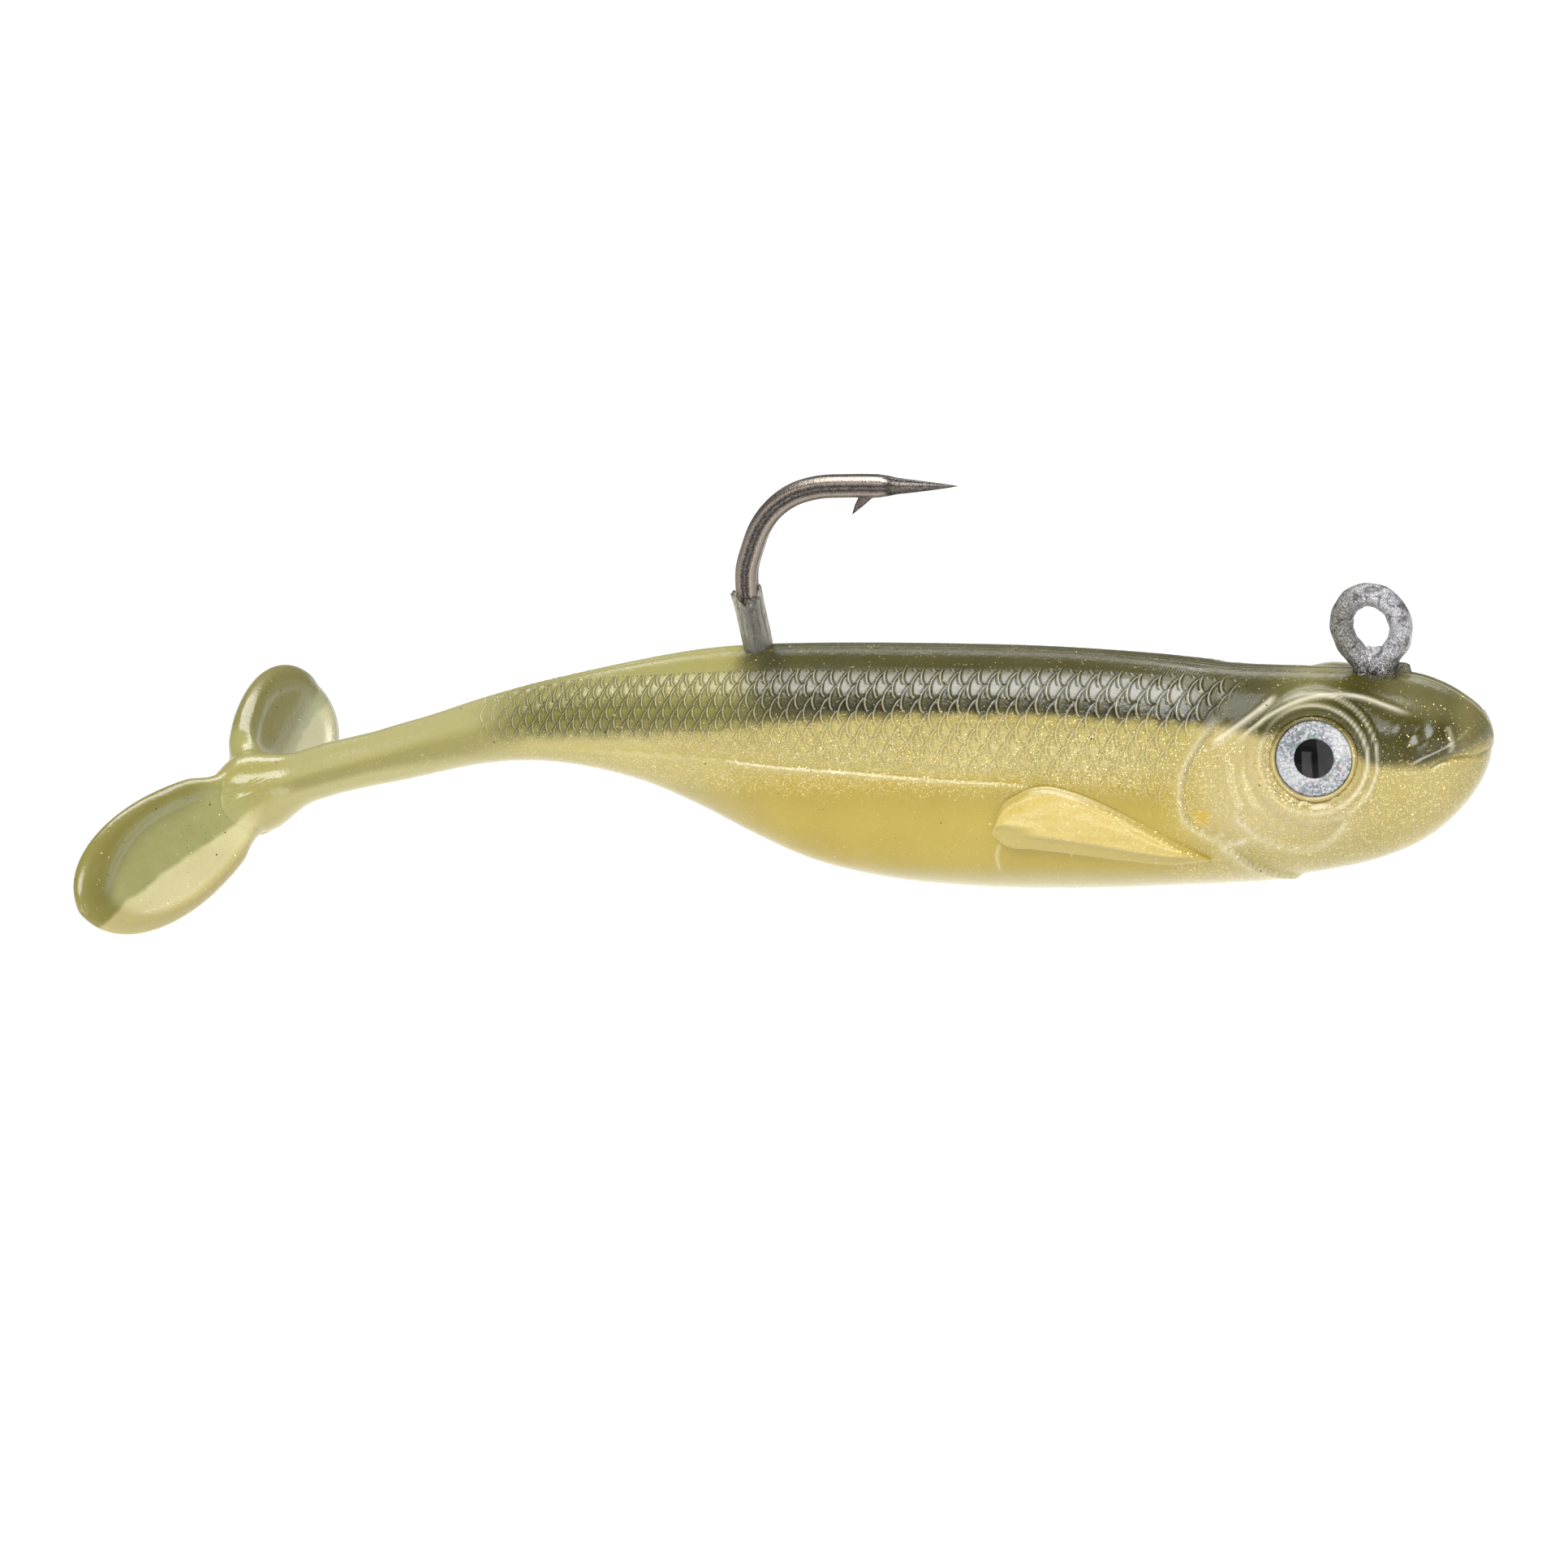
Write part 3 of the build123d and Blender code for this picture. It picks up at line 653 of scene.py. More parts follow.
stem_start = evened(ring[0], 30)
radial = stem_start - stem_start.mean(axis=0)
lean = np.arctan2(radial @ mid_chord, radial @ across)[:, None]
spanwise = FLARE_SPAN * np.cos(lean) * across
chordwise = FLARE_CHORD * np.sin(lean) * mid_chord
landing = FLUKE_CENTRE + spanwise + chordwise
landing = landing + mid_face * mix(ROOT_THICK, -0.5, smooth(0.75, 0.98, np.abs(np.sin(lean))))
elbow = FLUKE_CENTRE + 0.55 * spanwise + 0.9 * chordwise + mid_face * (ROOT_THICK + 0.6)
t = np.r_[np.linspace(0.0, 1.0, FLARE_RINGS + 1)[1:], 1.03, 1.06][:, None, None]
flare = (1 - t) ** 2 * stem_start + 2 * t * (1 - t) * elbow + t**2 * landing
flare = settle(flare, 1.0, 0.0, 10)
for _ in range(3):
    flare = settle(evened(flare, 12), 1.0, 0.0, 4)
sunk = np.r_[np.zeros(FLARE_RINGS - 3), 0.01, 0.03, 0.08, 0.2, 0.6][:, None] * np.ones((1, COUNT))
flare = settle(flare, 1.0, sunk, 4)
rings = np.concatenate([flare[::-1], ring], axis=0)
N_FLARE = len(flare)

poles = [FLUKE_CENTRE + mid_face * 0.3, (55.25, 0.0, 3.5)]


def around(field):
    """A half-skin field carried round the whole ring, with the flare given the first column's values."""
    return looped(np.concatenate([np.repeat(field[:1], N_FLARE, axis=0), field]))


# pale carries the painted highlights and dark the painted shade into the skin's material
skin_fields = {"scales": SCALES, "scale_u": CX, "scale_v": CV, "pale": clamp01(pale), "dark": clamp01(dark)}
skin = new_mesh(
    "soft_skin",
    np.vstack([rings.reshape(-1, 3), poles]),
    tube_faces(len(rings), COUNT),
    {key: around(field) for key, field in skin_fields.items()},
)


# ------------------------------------------------------------------ fluke lobes
def rounded(from_edge, radius):
    """Share of the full thickness this far in from an edge with a round lip."""
    return np.sqrt(clamp01(1.0 - (1.0 - clamp01(from_edge / radius)) ** 2))


def lobe(name):
    """One lobe of the fluke: a thin oval with a rounded rim, rooted in the thick web."""
    span, chord, face = SPAN[name], CHORD[name], FACE[name]
    turn = np.linspace(math.acos((LOBE_MID + 1.6) / LOBE_HALF_LENGTH), math.pi - 0.02, 110)
    s = LOBE_MID - LOBE_HALF_LENGTH * np.cos(turn)
    half = lobe_half(s)
    t = np.sin(0.5 * math.pi * np.linspace(-1.0, 1.0, 61))
    S, T = np.meshgrid(s, t, indexing="ij")
    H = np.repeat(half[:, None], len(t), axis=1)
    K = np.maximum((S - LOBE_MID) / LOBE_HALF_LENGTH, 0.0)
    rho = np.sqrt(clamp01(K**2 + (1.0 - K**2) * T**2))
    from_edge = (1.0 - rho) * mix(H, LOBE_HALF_CHORD, smooth(0.0, 0.8, K))
    thick = lobe_thick(S, T, from_edge, FILLED[name]) * rounded(from_edge, 0.95)
    # the lobe cups a little, as a soft moulding sags
    cup = 0.18 * (T**2) * smooth(4.0, 12.0, S)
    base = FLUKE_CENTRE + S[..., None] * span + (T * H)[..., None] * chord + cup[..., None] * face
    near_root = smooth(9.0, 6.5, S)
    # under the stem's flare the front face dips below it, and the two roots take turns on the back
    cover = 1.0 - np.sqrt((S / (FLARE_SPAN - 0.75)) ** 2 + (T * H / (FLARE_CHORD - 0.2)) ** 2)
    dip = 0.6 * smooth(0.08, 0.4, cover) + 0.014 * smooth(-0.05, 0.03, cover)
    turn_at = -0.15 if name == "left" else 0.45
    yielding = 0.25 * smooth(turn_at, turn_at - 1.3, S)
    front = settle(base + thick[..., None] * face, near_root, dip + yielding)
    rear = settle(base - thick[..., None] * face, near_root, yielding)
    loop = np.concatenate([front, rear[:, -2:0:-1]], axis=1)
    tip = FLUKE_CENTRE + (LOBE_MID + LOBE_HALF_LENGTH) * span
    points = np.vstack([loop.reshape(-1, 3), FLUKE_CENTRE - 0.6 * span, tip])
    rim = smooth(1.45 + 0.6 * smooth(0.2, -0.6, T), 0.8, from_edge)
    rim = np.maximum(rim, FILLED[name] * smooth(0.15, -0.1, T))
    clear = FILLED[name] * smooth(-0.05, 0.15, T) * smooth(4.0, 7.0, S)
    values = {"rim": looped(rim), "clear": looped(clear)}
    return new_mesh(name + "_fluke_lobe", points, tube_faces(len(s), loop.shape[1]), values)


lobes = {name: lobe(name) for name in ("left", "right")}


# ------------------------------------------------------------------ pectoral fins
def flank_y(x, z):
    """Half width of the plain body at a place on the flank."""
    run = run_at(x)
    _, _, top, bot, half, power, narrow = shape_at(run)
    w = np.clip((z - 0.5 * (top + bot)) / (0.5 * (top - bot)), -1.0, 1.0)
    return half * (1.0 - np.abs(w) ** power) ** (1.0 / power) * (1.0 - narrow * w)


FIN_TOP = [(18.0, -1.5), (18.7, 0.1), (20.4, 1.5), (22.3, 2.0), (24.3, 1.6), (28.3, -0.2), (32.5, -2.7), (34.5, -3.9)]
FIN_LOW = [(18.0, -1.5), (18.7, -2.3), (21.1, -2.9), (24.1, -3.35), (28.5, -4.0), (31.5, -4.3), (34.5, -3.9)]


def fin(name, side):
    """A leaf-shaped fin that lies along the flank, rooted along its upper edge."""
    turn = np.linspace(0.05, math.pi - 0.05, 96)
    x = 26.25 - 8.25 * np.cos(turn)
    top = of_line(FIN_TOP, x)
    low = of_line(FIN_LOW, x)
    t = np.sin(0.5 * math.pi * np.linspace(-1.0, 1.0, 49))
    XX, T = np.meshgrid(x, t, indexing="ij")
    mid = 0.5 * (top + low)[:, None]
    half = 0.5 * np.maximum(top - low, 0.02)[:, None]
    ZZ = mid + half * T
    ends = np.sin(turn)[:, None]
    from_edge = np.minimum((1.0 - np.abs(T)) * half, ends * 1.6)
    round_edge = rounded(from_edge, 0.22)
    # the thick leaf sits on a thin rim that is wide below and at the rear tip
    rim_width = mix(0.42, 1.25, smooth(0.6, -0.4, T)) * mix(0.75, 1.0, smooth(33.0, 24.0, XX))
    leaf = smooth(rim_width - 0.16, rim_width + 0.16, from_edge)
    welt = bell(from_edge, rim_width, 0.16)
    lift = mix(0.46, 0.10, smooth(0.2, 1.0, T)) + 0.25 * smooth(23.0, 18.0, XX)
    up = lift + round_edge * (0.17 + 0.16 * leaf + 0.10 * welt)
    down = lift - round_edge * 0.24
    y0 = flank_y(XX, ZZ)
    front = np.stack([XX, side * (y0 + up), ZZ], axis=-1)
    rear = np.stack([XX, side * (y0 + down), ZZ], axis=-1)
    loop = np.concatenate([front, rear[:, -2:0:-1]], axis=1)
    points = np.vstack([loop.reshape(-1, 3), loop[0].mean(axis=0), loop[-1].mean(axis=0)])
    return new_mesh(name + "_fin", points, tube_faces(len(x), loop.shape[1]), {"leaf": looped(leaf)})


fins = {name: fin(name, side) for name, side in (("left", 1.0), ("right", -1.0))}


# ------------------------------------------------------------------ eyes
def lathe(name, side, profile, count):
    """A closed disc or ring turned about an eye's axis; profile is radius and height above the eye's plane."""
    flip = np.array((1.0, side, 1.0))
    a = turns(count)
    radial = (np.cos(a)[:, None] * eye_x + np.sin(a)[:, None] * eye_up) * flip
    profile = np.asarray(profile, float)
    m = len(profile)
    points = EYE_AT * flip + radial[:, None, :] * profile[None, :, :1] + EYE_NORMAL * flip * profile[None, :, 1:]
    open_profile = profile[0, 0] == 0.0
    faces = []
    for i in range(count):
        n = (i + 1) % count
        for k in range(m - 1 if open_profile else m):
            faces.append((i * m + k, n * m + k, n * m + (k + 1) % m, i * m + (k + 1) % m))
    values = {"turn": np.repeat(a, m) / (2.0 * math.pi), "radius": np.tile(profile[:, 0], count)}
    piece = new_mesh(name, points.reshape(-1, 3), faces, values, weld=True)
    sharpen(piece, 40.0)
    return piece


def arc_profile(centre, radius, start, end, count):
    a = np.radians(np.linspace(start, end, count))
    return [(centre[0] + radius * math.cos(t), centre[1] + radius * math.sin(t)) for t in a]


PUPIL_R = 1.44
LENS_R = 2.80
LENS_SEAT = -0.18
DOME_RISE = 0.60
ball = (LENS_R**2 + DOME_RISE**2) / (2.0 * DOME_RISE)
dome_start = math.degrees(math.asin((ball - DOME_RISE) / ball))
dome = arc_profile((0.0, LENS_SEAT + DOME_RISE - ball), ball, dome_start, 90.0, 26)
# each part's name ending, how many steps it is turned in, and its profile
EYE_PARTS = {
    "socket_lip": ("_eye_socket_lip", 96, [
        (2.83, -0.95), (2.85, -0.34), *arc_profile((2.99, -0.22), 0.14, 175, 30, 9), (3.22, -0.26), (3.3, -0.95),
    ]),
    "foil": ("_eye_foil_disc", 96, [
        (0.0, -0.74), (2.76, -0.74), (2.80, -0.70), (2.78, -0.48), (2.62, -0.43), (2.2, -0.47), (0.0, -0.47),
    ]),
    "pupil": ("_eye_pupil_disc", 96, [
        (0.0, -0.52), (PUPIL_R, -0.52), (PUPIL_R, -0.42), (PUPIL_R - 0.05, -0.39), (0.0, -0.39),
    ]),
    "lens": ("_eye_lens_dome", 128, [
        (0.0, -0.385), (2.77, -0.385), (LENS_R, -0.34), *dome[:-1], (0.0, LENS_SEAT + DOME_RISE),
    ]),
}
eye_pieces = {
    name: {part: lathe(name + ending, side, profile, steps) for part, (ending, steps, profile) in EYE_PARTS.items()}
    for name, side in (("left", 1.0), ("right", -1.0))
}


# ------------------------------------------------------------------ hook, sleeve, line tie, flash
HOOK_LINE = [
    (3.0, 0, 6.2), (0.6, 0, 7.2), (-0.75, 0, 9.5), (-0.86, 0, 12.5), (-0.98, 0, 15.6), (-0.80, 0, 17.2),
    (-0.16, 0, 18.9), (0.70, 0, 20.6), (1.9, 0, 22.0), (3.5, 0, 23.05), (5.4, 0, 23.6), (8.0, 0, 23.72),
    (10.7, 0, 23.68), (13.5, 0, 23.62), (16.5, 0, 23.60),
]
FORGED_CORNER = 24.0
hook_path = curved(HOOK_LINE, 260)
hx, _, hz = hook_path.T
forged = smooth(13.6, 15.6, hz) * smooth(11.9, 10.6, hx)
taper = clamp01((16.5 - hx) / (16.5 - 10.2)) ** 0.85
on_point = (hz > 20.0) & (hx > 8.0)
size = np.where(on_point, taper, 1.0)
hook_a = np.maximum(mix(0.80, 0.82, forged) * size, 0.02)
hook_b = np.maximum(mix(0.80, 0.62, forged) * size, 0.02)
hook = swept("hook_wire", hook_path, hook_a, hook_b, mix(1.0, 1.16, forged), 56)
sharpen(hook, FORGED_CORNER)

BARB = [(10.6, 23.1), (9.7, 22.75), (9.0, 22.2), (8.02, 21.50), (8.35, 22.3), (8.75, 22.95), (8.8, 23.2)]


def barb():
    """The barb is a thin blade cut up from the inner side of the point."""
    outline = np.array(BARB)
    n = len(outline)
    centre = outline.mean(axis=0)
    layers = ((-0.26, 0.80), (-0.20, 1.0), (0.20, 1.0), (0.26, 0.80))
    points = [(p[0], y, p[1]) for y, grow in layers for p in centre + (outline - centre) * grow]
    ends = [tuple(range(n)), tuple(reversed(range(len(points) - n, len(points))))]
    piece = new_mesh("hook_barb", points, band_faces(len(layers), n) + ends, {"edge": np.zeros(len(points))})
    sharpen(piece, FORGED_CORNER)
    return piece


hook_barb = barb()


def sleeve():
    """Clear tube on the hook's leg: torn at the top, flared a little, with long folds."""
    rng = np.random.default_rng(5)
    count = 96
    a = turns(count)
    foot = np.array((-0.55, 0.0, 9.7))
    head = np.array((-1.12, 0.0, 15.2))
    up = unit(head - foot)
    ex = unit(np.cross((0, 1, 0), up))
    ey = np.cross(up, ex)
    tear = 0.30 * np.sin(2.0 * a + 0.7) + 0.20 * np.sin(5.0 * a) + 0.12 * np.sin(11.0 * a + 2.0)
    tear = tear + 0.05 * rng.normal(size=count)
    fold = 0.07 * np.sin(3.0 * a + 1.0) + 0.05 * np.sin(7.0 * a) + 0.03 * np.sin(13.0 * a + 0.5)
    levels = np.linspace(0.0, 1.0, 30)
    rings = []
    for outer in (True, False):
        for t in levels if outer else levels[::-1]:
            length = np.linalg.norm(head - foot) + tear * smooth(0.55, 1.0, t)
            r = (1.10 if outer else 0.93) + fold * smooth(0.0, 0.5, t) + 0.05 * smooth(0.8, 1.0, t)
            r = r + 0.10 * smooth(0.12, 0.0, t)
            ring = foot + up * (length * t)[:, None]
            rings.append(ring + ex * (r * np.cos(a))[:, None] + ey * (r * np.sin(a))[:, None])
    return new_mesh("hook_clear_sleeve", np.concatenate(rings), band_faces(len(rings), count, closed=True))


hook_sleeve = sleeve()


def cast_rough(n, count):
    """Uneven thickness of rough drawn wire."""
    i = np.arange(n)[:, None] / n
    k = 2.0 * math.pi * np.arange(count)[None, :] / count
    wave = 0.022 * np.sin(61.0 * i + 2.0 * k) + 0.018 * np.sin(97.0 * i - 3.0 * k + 1.0)
    return 1.0 + wave + 0.022 * np.sin(23.0 * i + k)


TIE_X = 46.9
RING_Z = 12.4
RING_WIDE = 2.24
RING_TALL = 2.42
ring_turn = np.radians(np.linspace(222.0, -42.0, 17))
loop_points = [(TIE_X + RING_WIDE * math.cos(t), 0.0, RING_Z + RING_TALL * math.sin(t)) for t in ring_turn]
leg_left = [(46.12, 0, 6.6), (46.12, 0, 8.4), (46.06, 0, 9.4)]
leg_right = [(47.70, 0, 9.4), (47.68, 0, 8.4), (47.68, 0, 6.6)]
tie_path = curved([*leg_left, *loop_points[1:-1], *leg_right], 230)
line_tie = swept("line_tie_wire", tie_path, 0.88, 0.88, 1.0, 36, rough=cast_rough)


def braze():
    """Rough solder run between the two legs under the ring."""
    u = turns(48)
    v = np.linspace(0.0, math.pi, 28)[1:-1]
    rng = np.random.default_rng(3)
    U, V = np.meshgrid(u, v)
    lump = 1.0 + 0.07 * np.sin(3 * U + 4 * V) + 0.06 * np.sin(5 * U - 3 * V + 1) + 0.02 * rng.normal(size=U.shape)
    x = TIE_X + 1.05 * lump * np.sqrt(np.sin(V)) * np.cos(U)
    y = 0.74 * lump * np.sin(V) * np.sin(U)
    z = 9.35 + 1.35 * lump * np.cos(V)
    grid = np.stack([x, y, z], axis=-1)
    points = np.vstack([grid.reshape(-1, 3), (TIE_X, 0.0, 10.72), (TIE_X, 0.0, 8.0)])
    return new_mesh("line_tie_braze", points, tube_faces(len(v), len(u)), {"edge": np.zeros(len(points))})


tie_braze = braze()


def flash():
    """Clear plastic that squeezed up round the foot of the line tie and set."""
    rng = np.random.default_rng(11)
    count = 96
    a = turns(count)
    ragged = 1.0 + 0.12 * np.sin(3 * a + 0.4) + 0.09 * np.sin(7 * a + 1.0) + 0.05 * np.sin(13 * a)
    ragged = ragged + 0.02 * rng.normal(size=count)
    profile = [(0.50, 8.3), (0.50, 8.86), (0.64, 9.02), (0.82, 9.00), (0.95, 8.84), (1.0, 8.6), (0.9, 8.2)]
    lump = 0.42 * (bell(a, 0.15, 0.28) + bell(a, 0.15 + 2.0 * math.pi, 0.28))
    lift = lump + 0.08 * np.sin(2 * a + 2.6) + 0.08 * np.sin(5 * a)
    rings = []
    for r, z in profile:
        grow = ragged if r > 0.6 else 1.0
        top = lift if z > 8.8 else 0.0
        x = 47.2 + 1.95 * r * grow * np.cos(a)
        y = 1.15 * r * grow * np.sin(a)
        rings.append(np.stack([x, y, z + top + 0.0 * a], axis=1))
    return new_mesh("tie_clear_flash", np.concatenate(rings), band_faces(len(rings), count, closed=True))


tie_flash = flash()


# ------------------------------------------------------------------ materials
def rgb(r, g, b):
    """Screen colour, 0 to 255, to a linear colour."""
    def lin(c):
        c /= 255.0
        return c / 12.92 if c <= 0.04045 else ((c + 0.055) / 1.055) ** 2.4
    return (lin(r), lin(g), lin(b), 1.0)


class Field:
    """A value in a material's node tree that can be worked with like a number."""

    def __init__(self, nodes, socket):
        self.nodes = nodes
        self.socket = socket

    def op(self, kind, other=None):
        return Field(self.nodes, self.nodes.add("ShaderNodeMath", {0: self, 1: other}, operation=kind))

    __add__ = __radd__ = partialmethod(op, "ADD")
    __sub__ = partialmethod(op, "SUBTRACT")
    __mul__ = __rmul__ = partialmethod(op, "MULTIPLY")
    __truediv__ = partialmethod(op, "DIVIDE")
    below = partialmethod(op, "LESS_THAN")
    above = partialmethod(op, "GREATER_THAN")
    least = partialmethod(op, "MINIMUM")
    most = partialmethod(op, "MAXIMUM")

    def __rsub__(self, other):
        return self * -1.0 + other

    def step(self, low, high, out_low=0.0, out_high=1.0):
        """Eased from out_low at low to out_high at high; low may be the larger."""
        if isinstance(low, float) and isinstance(high, float) and low > high:
            low, high, out_low, out_high = high, low, out_high, out_low
        ends = dict(enumerate((self, low, high, out_low, out_high)))
        eased = self.nodes.add("ShaderNodeMapRange", ends, interpolation_type="SMOOTHSTEP", clamp=True)
        return Field(self.nodes, eased)


class Nodes:
    """Writes a material's node tree."""

    SOCKETS = {
        "color": "Base Color", "rough": "Roughness", "metal": "Metallic", "ior": "IOR", "normal": "Normal",
        "sss": "Subsurface Weight", "sss_radius": "Subsurface Radius", "sss_scale": "Subsurface Scale",
        "trans": "Transmission Weight", "coat": "Coat Weight", "coat_rough": "Coat Roughness",
        "spec": "Specular IOR Level",
    }

    def __init__(self, name):
        self.mat = bpy.data.materials.new(name)
        self.mat.use_nodes = True
        self.tree = self.mat.node_tree
        self.shader = self.tree.nodes["Principled BSDF"]

    def link(self, value, socket):
        if isinstance(value, Field):
            value = value.socket
        if isinstance(value, bpy.types.NodeSocket):
            self.tree.links.new(value, socket)
        else:
            socket.default_value = value

    def add(self, kind, inputs=None, out=0, **sets):
        """Makes a node with its settings, fills its inputs by place or name, and gives back one of its outputs."""
        n = self.tree.nodes.new(kind)
        for key, value in sets.items():
            setattr(n, key, value)
        for key, value in (inputs or {}).items():
            if value is not None:
                self.link(value, n.inputs[key])
        return n.outputs[out]

    def value(self, name):
        return Field(self, self.add("ShaderNodeAttribute", out="Fac", attribute_name=name))

    def rest(self):
        return self.add("ShaderNodeAttribute", out="Vector", attribute_name="rest")

    def split(self, vector):
        first = self.add("ShaderNodeSeparateXYZ", {0: vector})
        return [Field(self, out) for out in first.node.outputs]

    def vector(self, kind, a, b=None, scale=None):
        return self.add("ShaderNodeVectorMath", {0: a, 1: b, "Scale": scale}, operation=kind)

    def mix(self, factor, a, b):
        return self.add("ShaderNodeMix", {0: factor, 6: a, 7: b}, 2, data_type="RGBA")

    def lerp(self, factor, a, b):
        return Field(self, self.add("ShaderNodeMix", {0: factor, 2: a, 3: b}, data_type="FLOAT"))

    def noise(self, vector, scale, detail=3.0, rough=0.5, distortion=0.0):
        sizes = {"Scale": scale, "Detail": detail, "Roughness": rough, "Distortion": distortion}
        return Field(self, self.add("ShaderNodeTexNoise", {"Vector": vector, **sizes}, "Fac"))

    def clouds(self, vector, scale, detail, a, b):
        """Two colours in soft clouds."""
        return self.mix(self.noise(vector, scale, detail), a, b)

    def cells(self, vector, scale):
        color = self.add("ShaderNodeTexVoronoi", {"Vector": vector, "Scale": scale}, "Color")
        return color, Field(self, color.node.outputs["Distance"])

    def curve(self, value, points):
        """A smooth curve through points whose ends are at 0 and 1."""
        out = self.add("ShaderNodeFloatCurve", {"Value": value})
        c = out.node.mapping.curves[0]
        c.points[0].location = points[0]
        c.points[1].location = points[-1]
        for p in points[1:-1]:
            c.points.new(*p)
        out.node.mapping.update()
        return Field(self, out)

    def bump(self, height, distance, normal=None):
        return self.add("ShaderNodeBump", {"Strength": 1.0, "Distance": distance, "Height": height, "Normal": normal})

    def set(self, **values):
        for key, value in values.items():
            self.link(value, self.shader.inputs[self.SOCKETS[key]])


def flakes(m, place, scale, density, tilt):
    """Metal flakes in the plastic: a mask, a tint and a tilted normal."""
    color, distance = m.cells(place, scale)
    pick, hue, _ = m.split(color)
    mask = pick.below(density) * distance.step(0.55, 0.42)
    lean = m.vector("SCALE", m.vector("SUBTRACT", color, (0.5, 0.5, 0.5)), scale=tilt)
    facing = m.add("ShaderNodeNewGeometry", out="Normal")
    normal = m.vector("NORMALIZE", m.vector("ADD", facing, lean))
    tint = m.mix(hue.step(0.0, 0.9), rgb(212, 182, 92), rgb(250, 236, 178))
    return mask, tint, normal


def pepper(m, place, scale, share, size):
    """Sparse dark flecks."""
    color, distance = m.cells(place, scale)
    return m.split(color)[2].below(share) * distance.step(size, size * 0.6)


def plastisol(m, color, place, density, fleck_share, height=None):
    """Common end of every soft plastic material: glitter, flecks, gloss, relief and scattering.

    height is fine relief in millimetres."""
    fine, fine_tint, fine_normal = flakes(m, place, 10.0, density * 0.8, 0.9)
    big, big_tint, big_normal = flakes(m, place, 5.4, density * 0.12, 0.8)
    mask = fine.most(big)
    tint = m.mix(big, fine_tint, big_tint)
    flecks = pepper(m, place, 0.95, fleck_share, 0.085).most(pepper(m, place, 2.6, fleck_share * 0.5, 0.11))
    color = m.mix(flecks, color, rgb(44, 41, 24))
    color = m.mix(mask * 0.62, color, tint)
    grain = m.noise(place, 2.6, 3.0, 0.6)
    normal = m.bump(grain, 0.00004)
    if height is not None:
        normal = m.bump(height, 0.001, normal)
    tilted = {0: mask * 0.9, 4: normal, 5: m.mix(big, fine_normal, big_normal)}
    normal = m.add("ShaderNodeMix", tilted, 1, data_type="VECTOR")
    m.set(color=color, rough=m.lerp(mask, grain * 0.08 + 0.20, 0.28), metal=mask * 0.45, normal=normal)
    m.set(ior=1.47, sss=0.22, sss_radius=(1.0, 0.85, 0.35), sss_scale=0.0005, coat=0.25, coat_rough=0.1)
    return m.mat


def free_edges(m, u, v):
    """The same overlapping scales as the mould relief: distance ahead of and behind the free edges, in millimetres."""
    top = ahead = behind = None
    first = v.op("FLOOR")
    for k in (0, 1, 2):
        row = first + float(k)
        dv = v - row
        shift = (row * 0.5).op("FRACT")
        root = (1.0 - (dv * dv) * (1.0 / SCALE_TALL**2)).most(0.0001).op("SQRT")
        t = u - shift + root * SCALE_REACH + dv * SCALE_LEAN
        f = t.op("FRACT")
        centre = t.op("FLOOR") + shift
        there = dv.op("ABSOLUTE").below(SCALE_TALL)
        # turns a distance along the row into one square to the edge
        slope = (dv / root) * (SCALE_REACH / SCALE_TALL**2 / ROW_RATIO)
        square = (slope * slope + 1.0).op("INVERSE_SQRT") * 1.4
        near = f * square
        gap = m.lerp(there, 9.0, (1.0 - f) * square)
        if top is None:
            top, ahead, behind = centre, near, gap
            continue
        over = there * centre.above(top)
        ahead = m.lerp(over, ahead, near)
        top = m.lerp(over, top, centre)
        behind = behind.least(gap)
    return ahead, behind


# where the two pours meet: share of the way from the stem to the nose, and height in centimetres above -0.9 mm
POUR_LINE = [
    (0.0, 0.02), (0.08, 0.24), (0.16, 0.42), (0.20, 0.50), (0.24, 0.56), (0.34, 0.63), (0.44, 0.74), (0.52, 0.80),
    (0.66, 0.80), (0.76, 0.75), (0.82, 0.68), (0.875, 0.64), (0.925, 0.41), (0.955, 0.40), (0.975, 0.44), (1.0, 0.46),
]


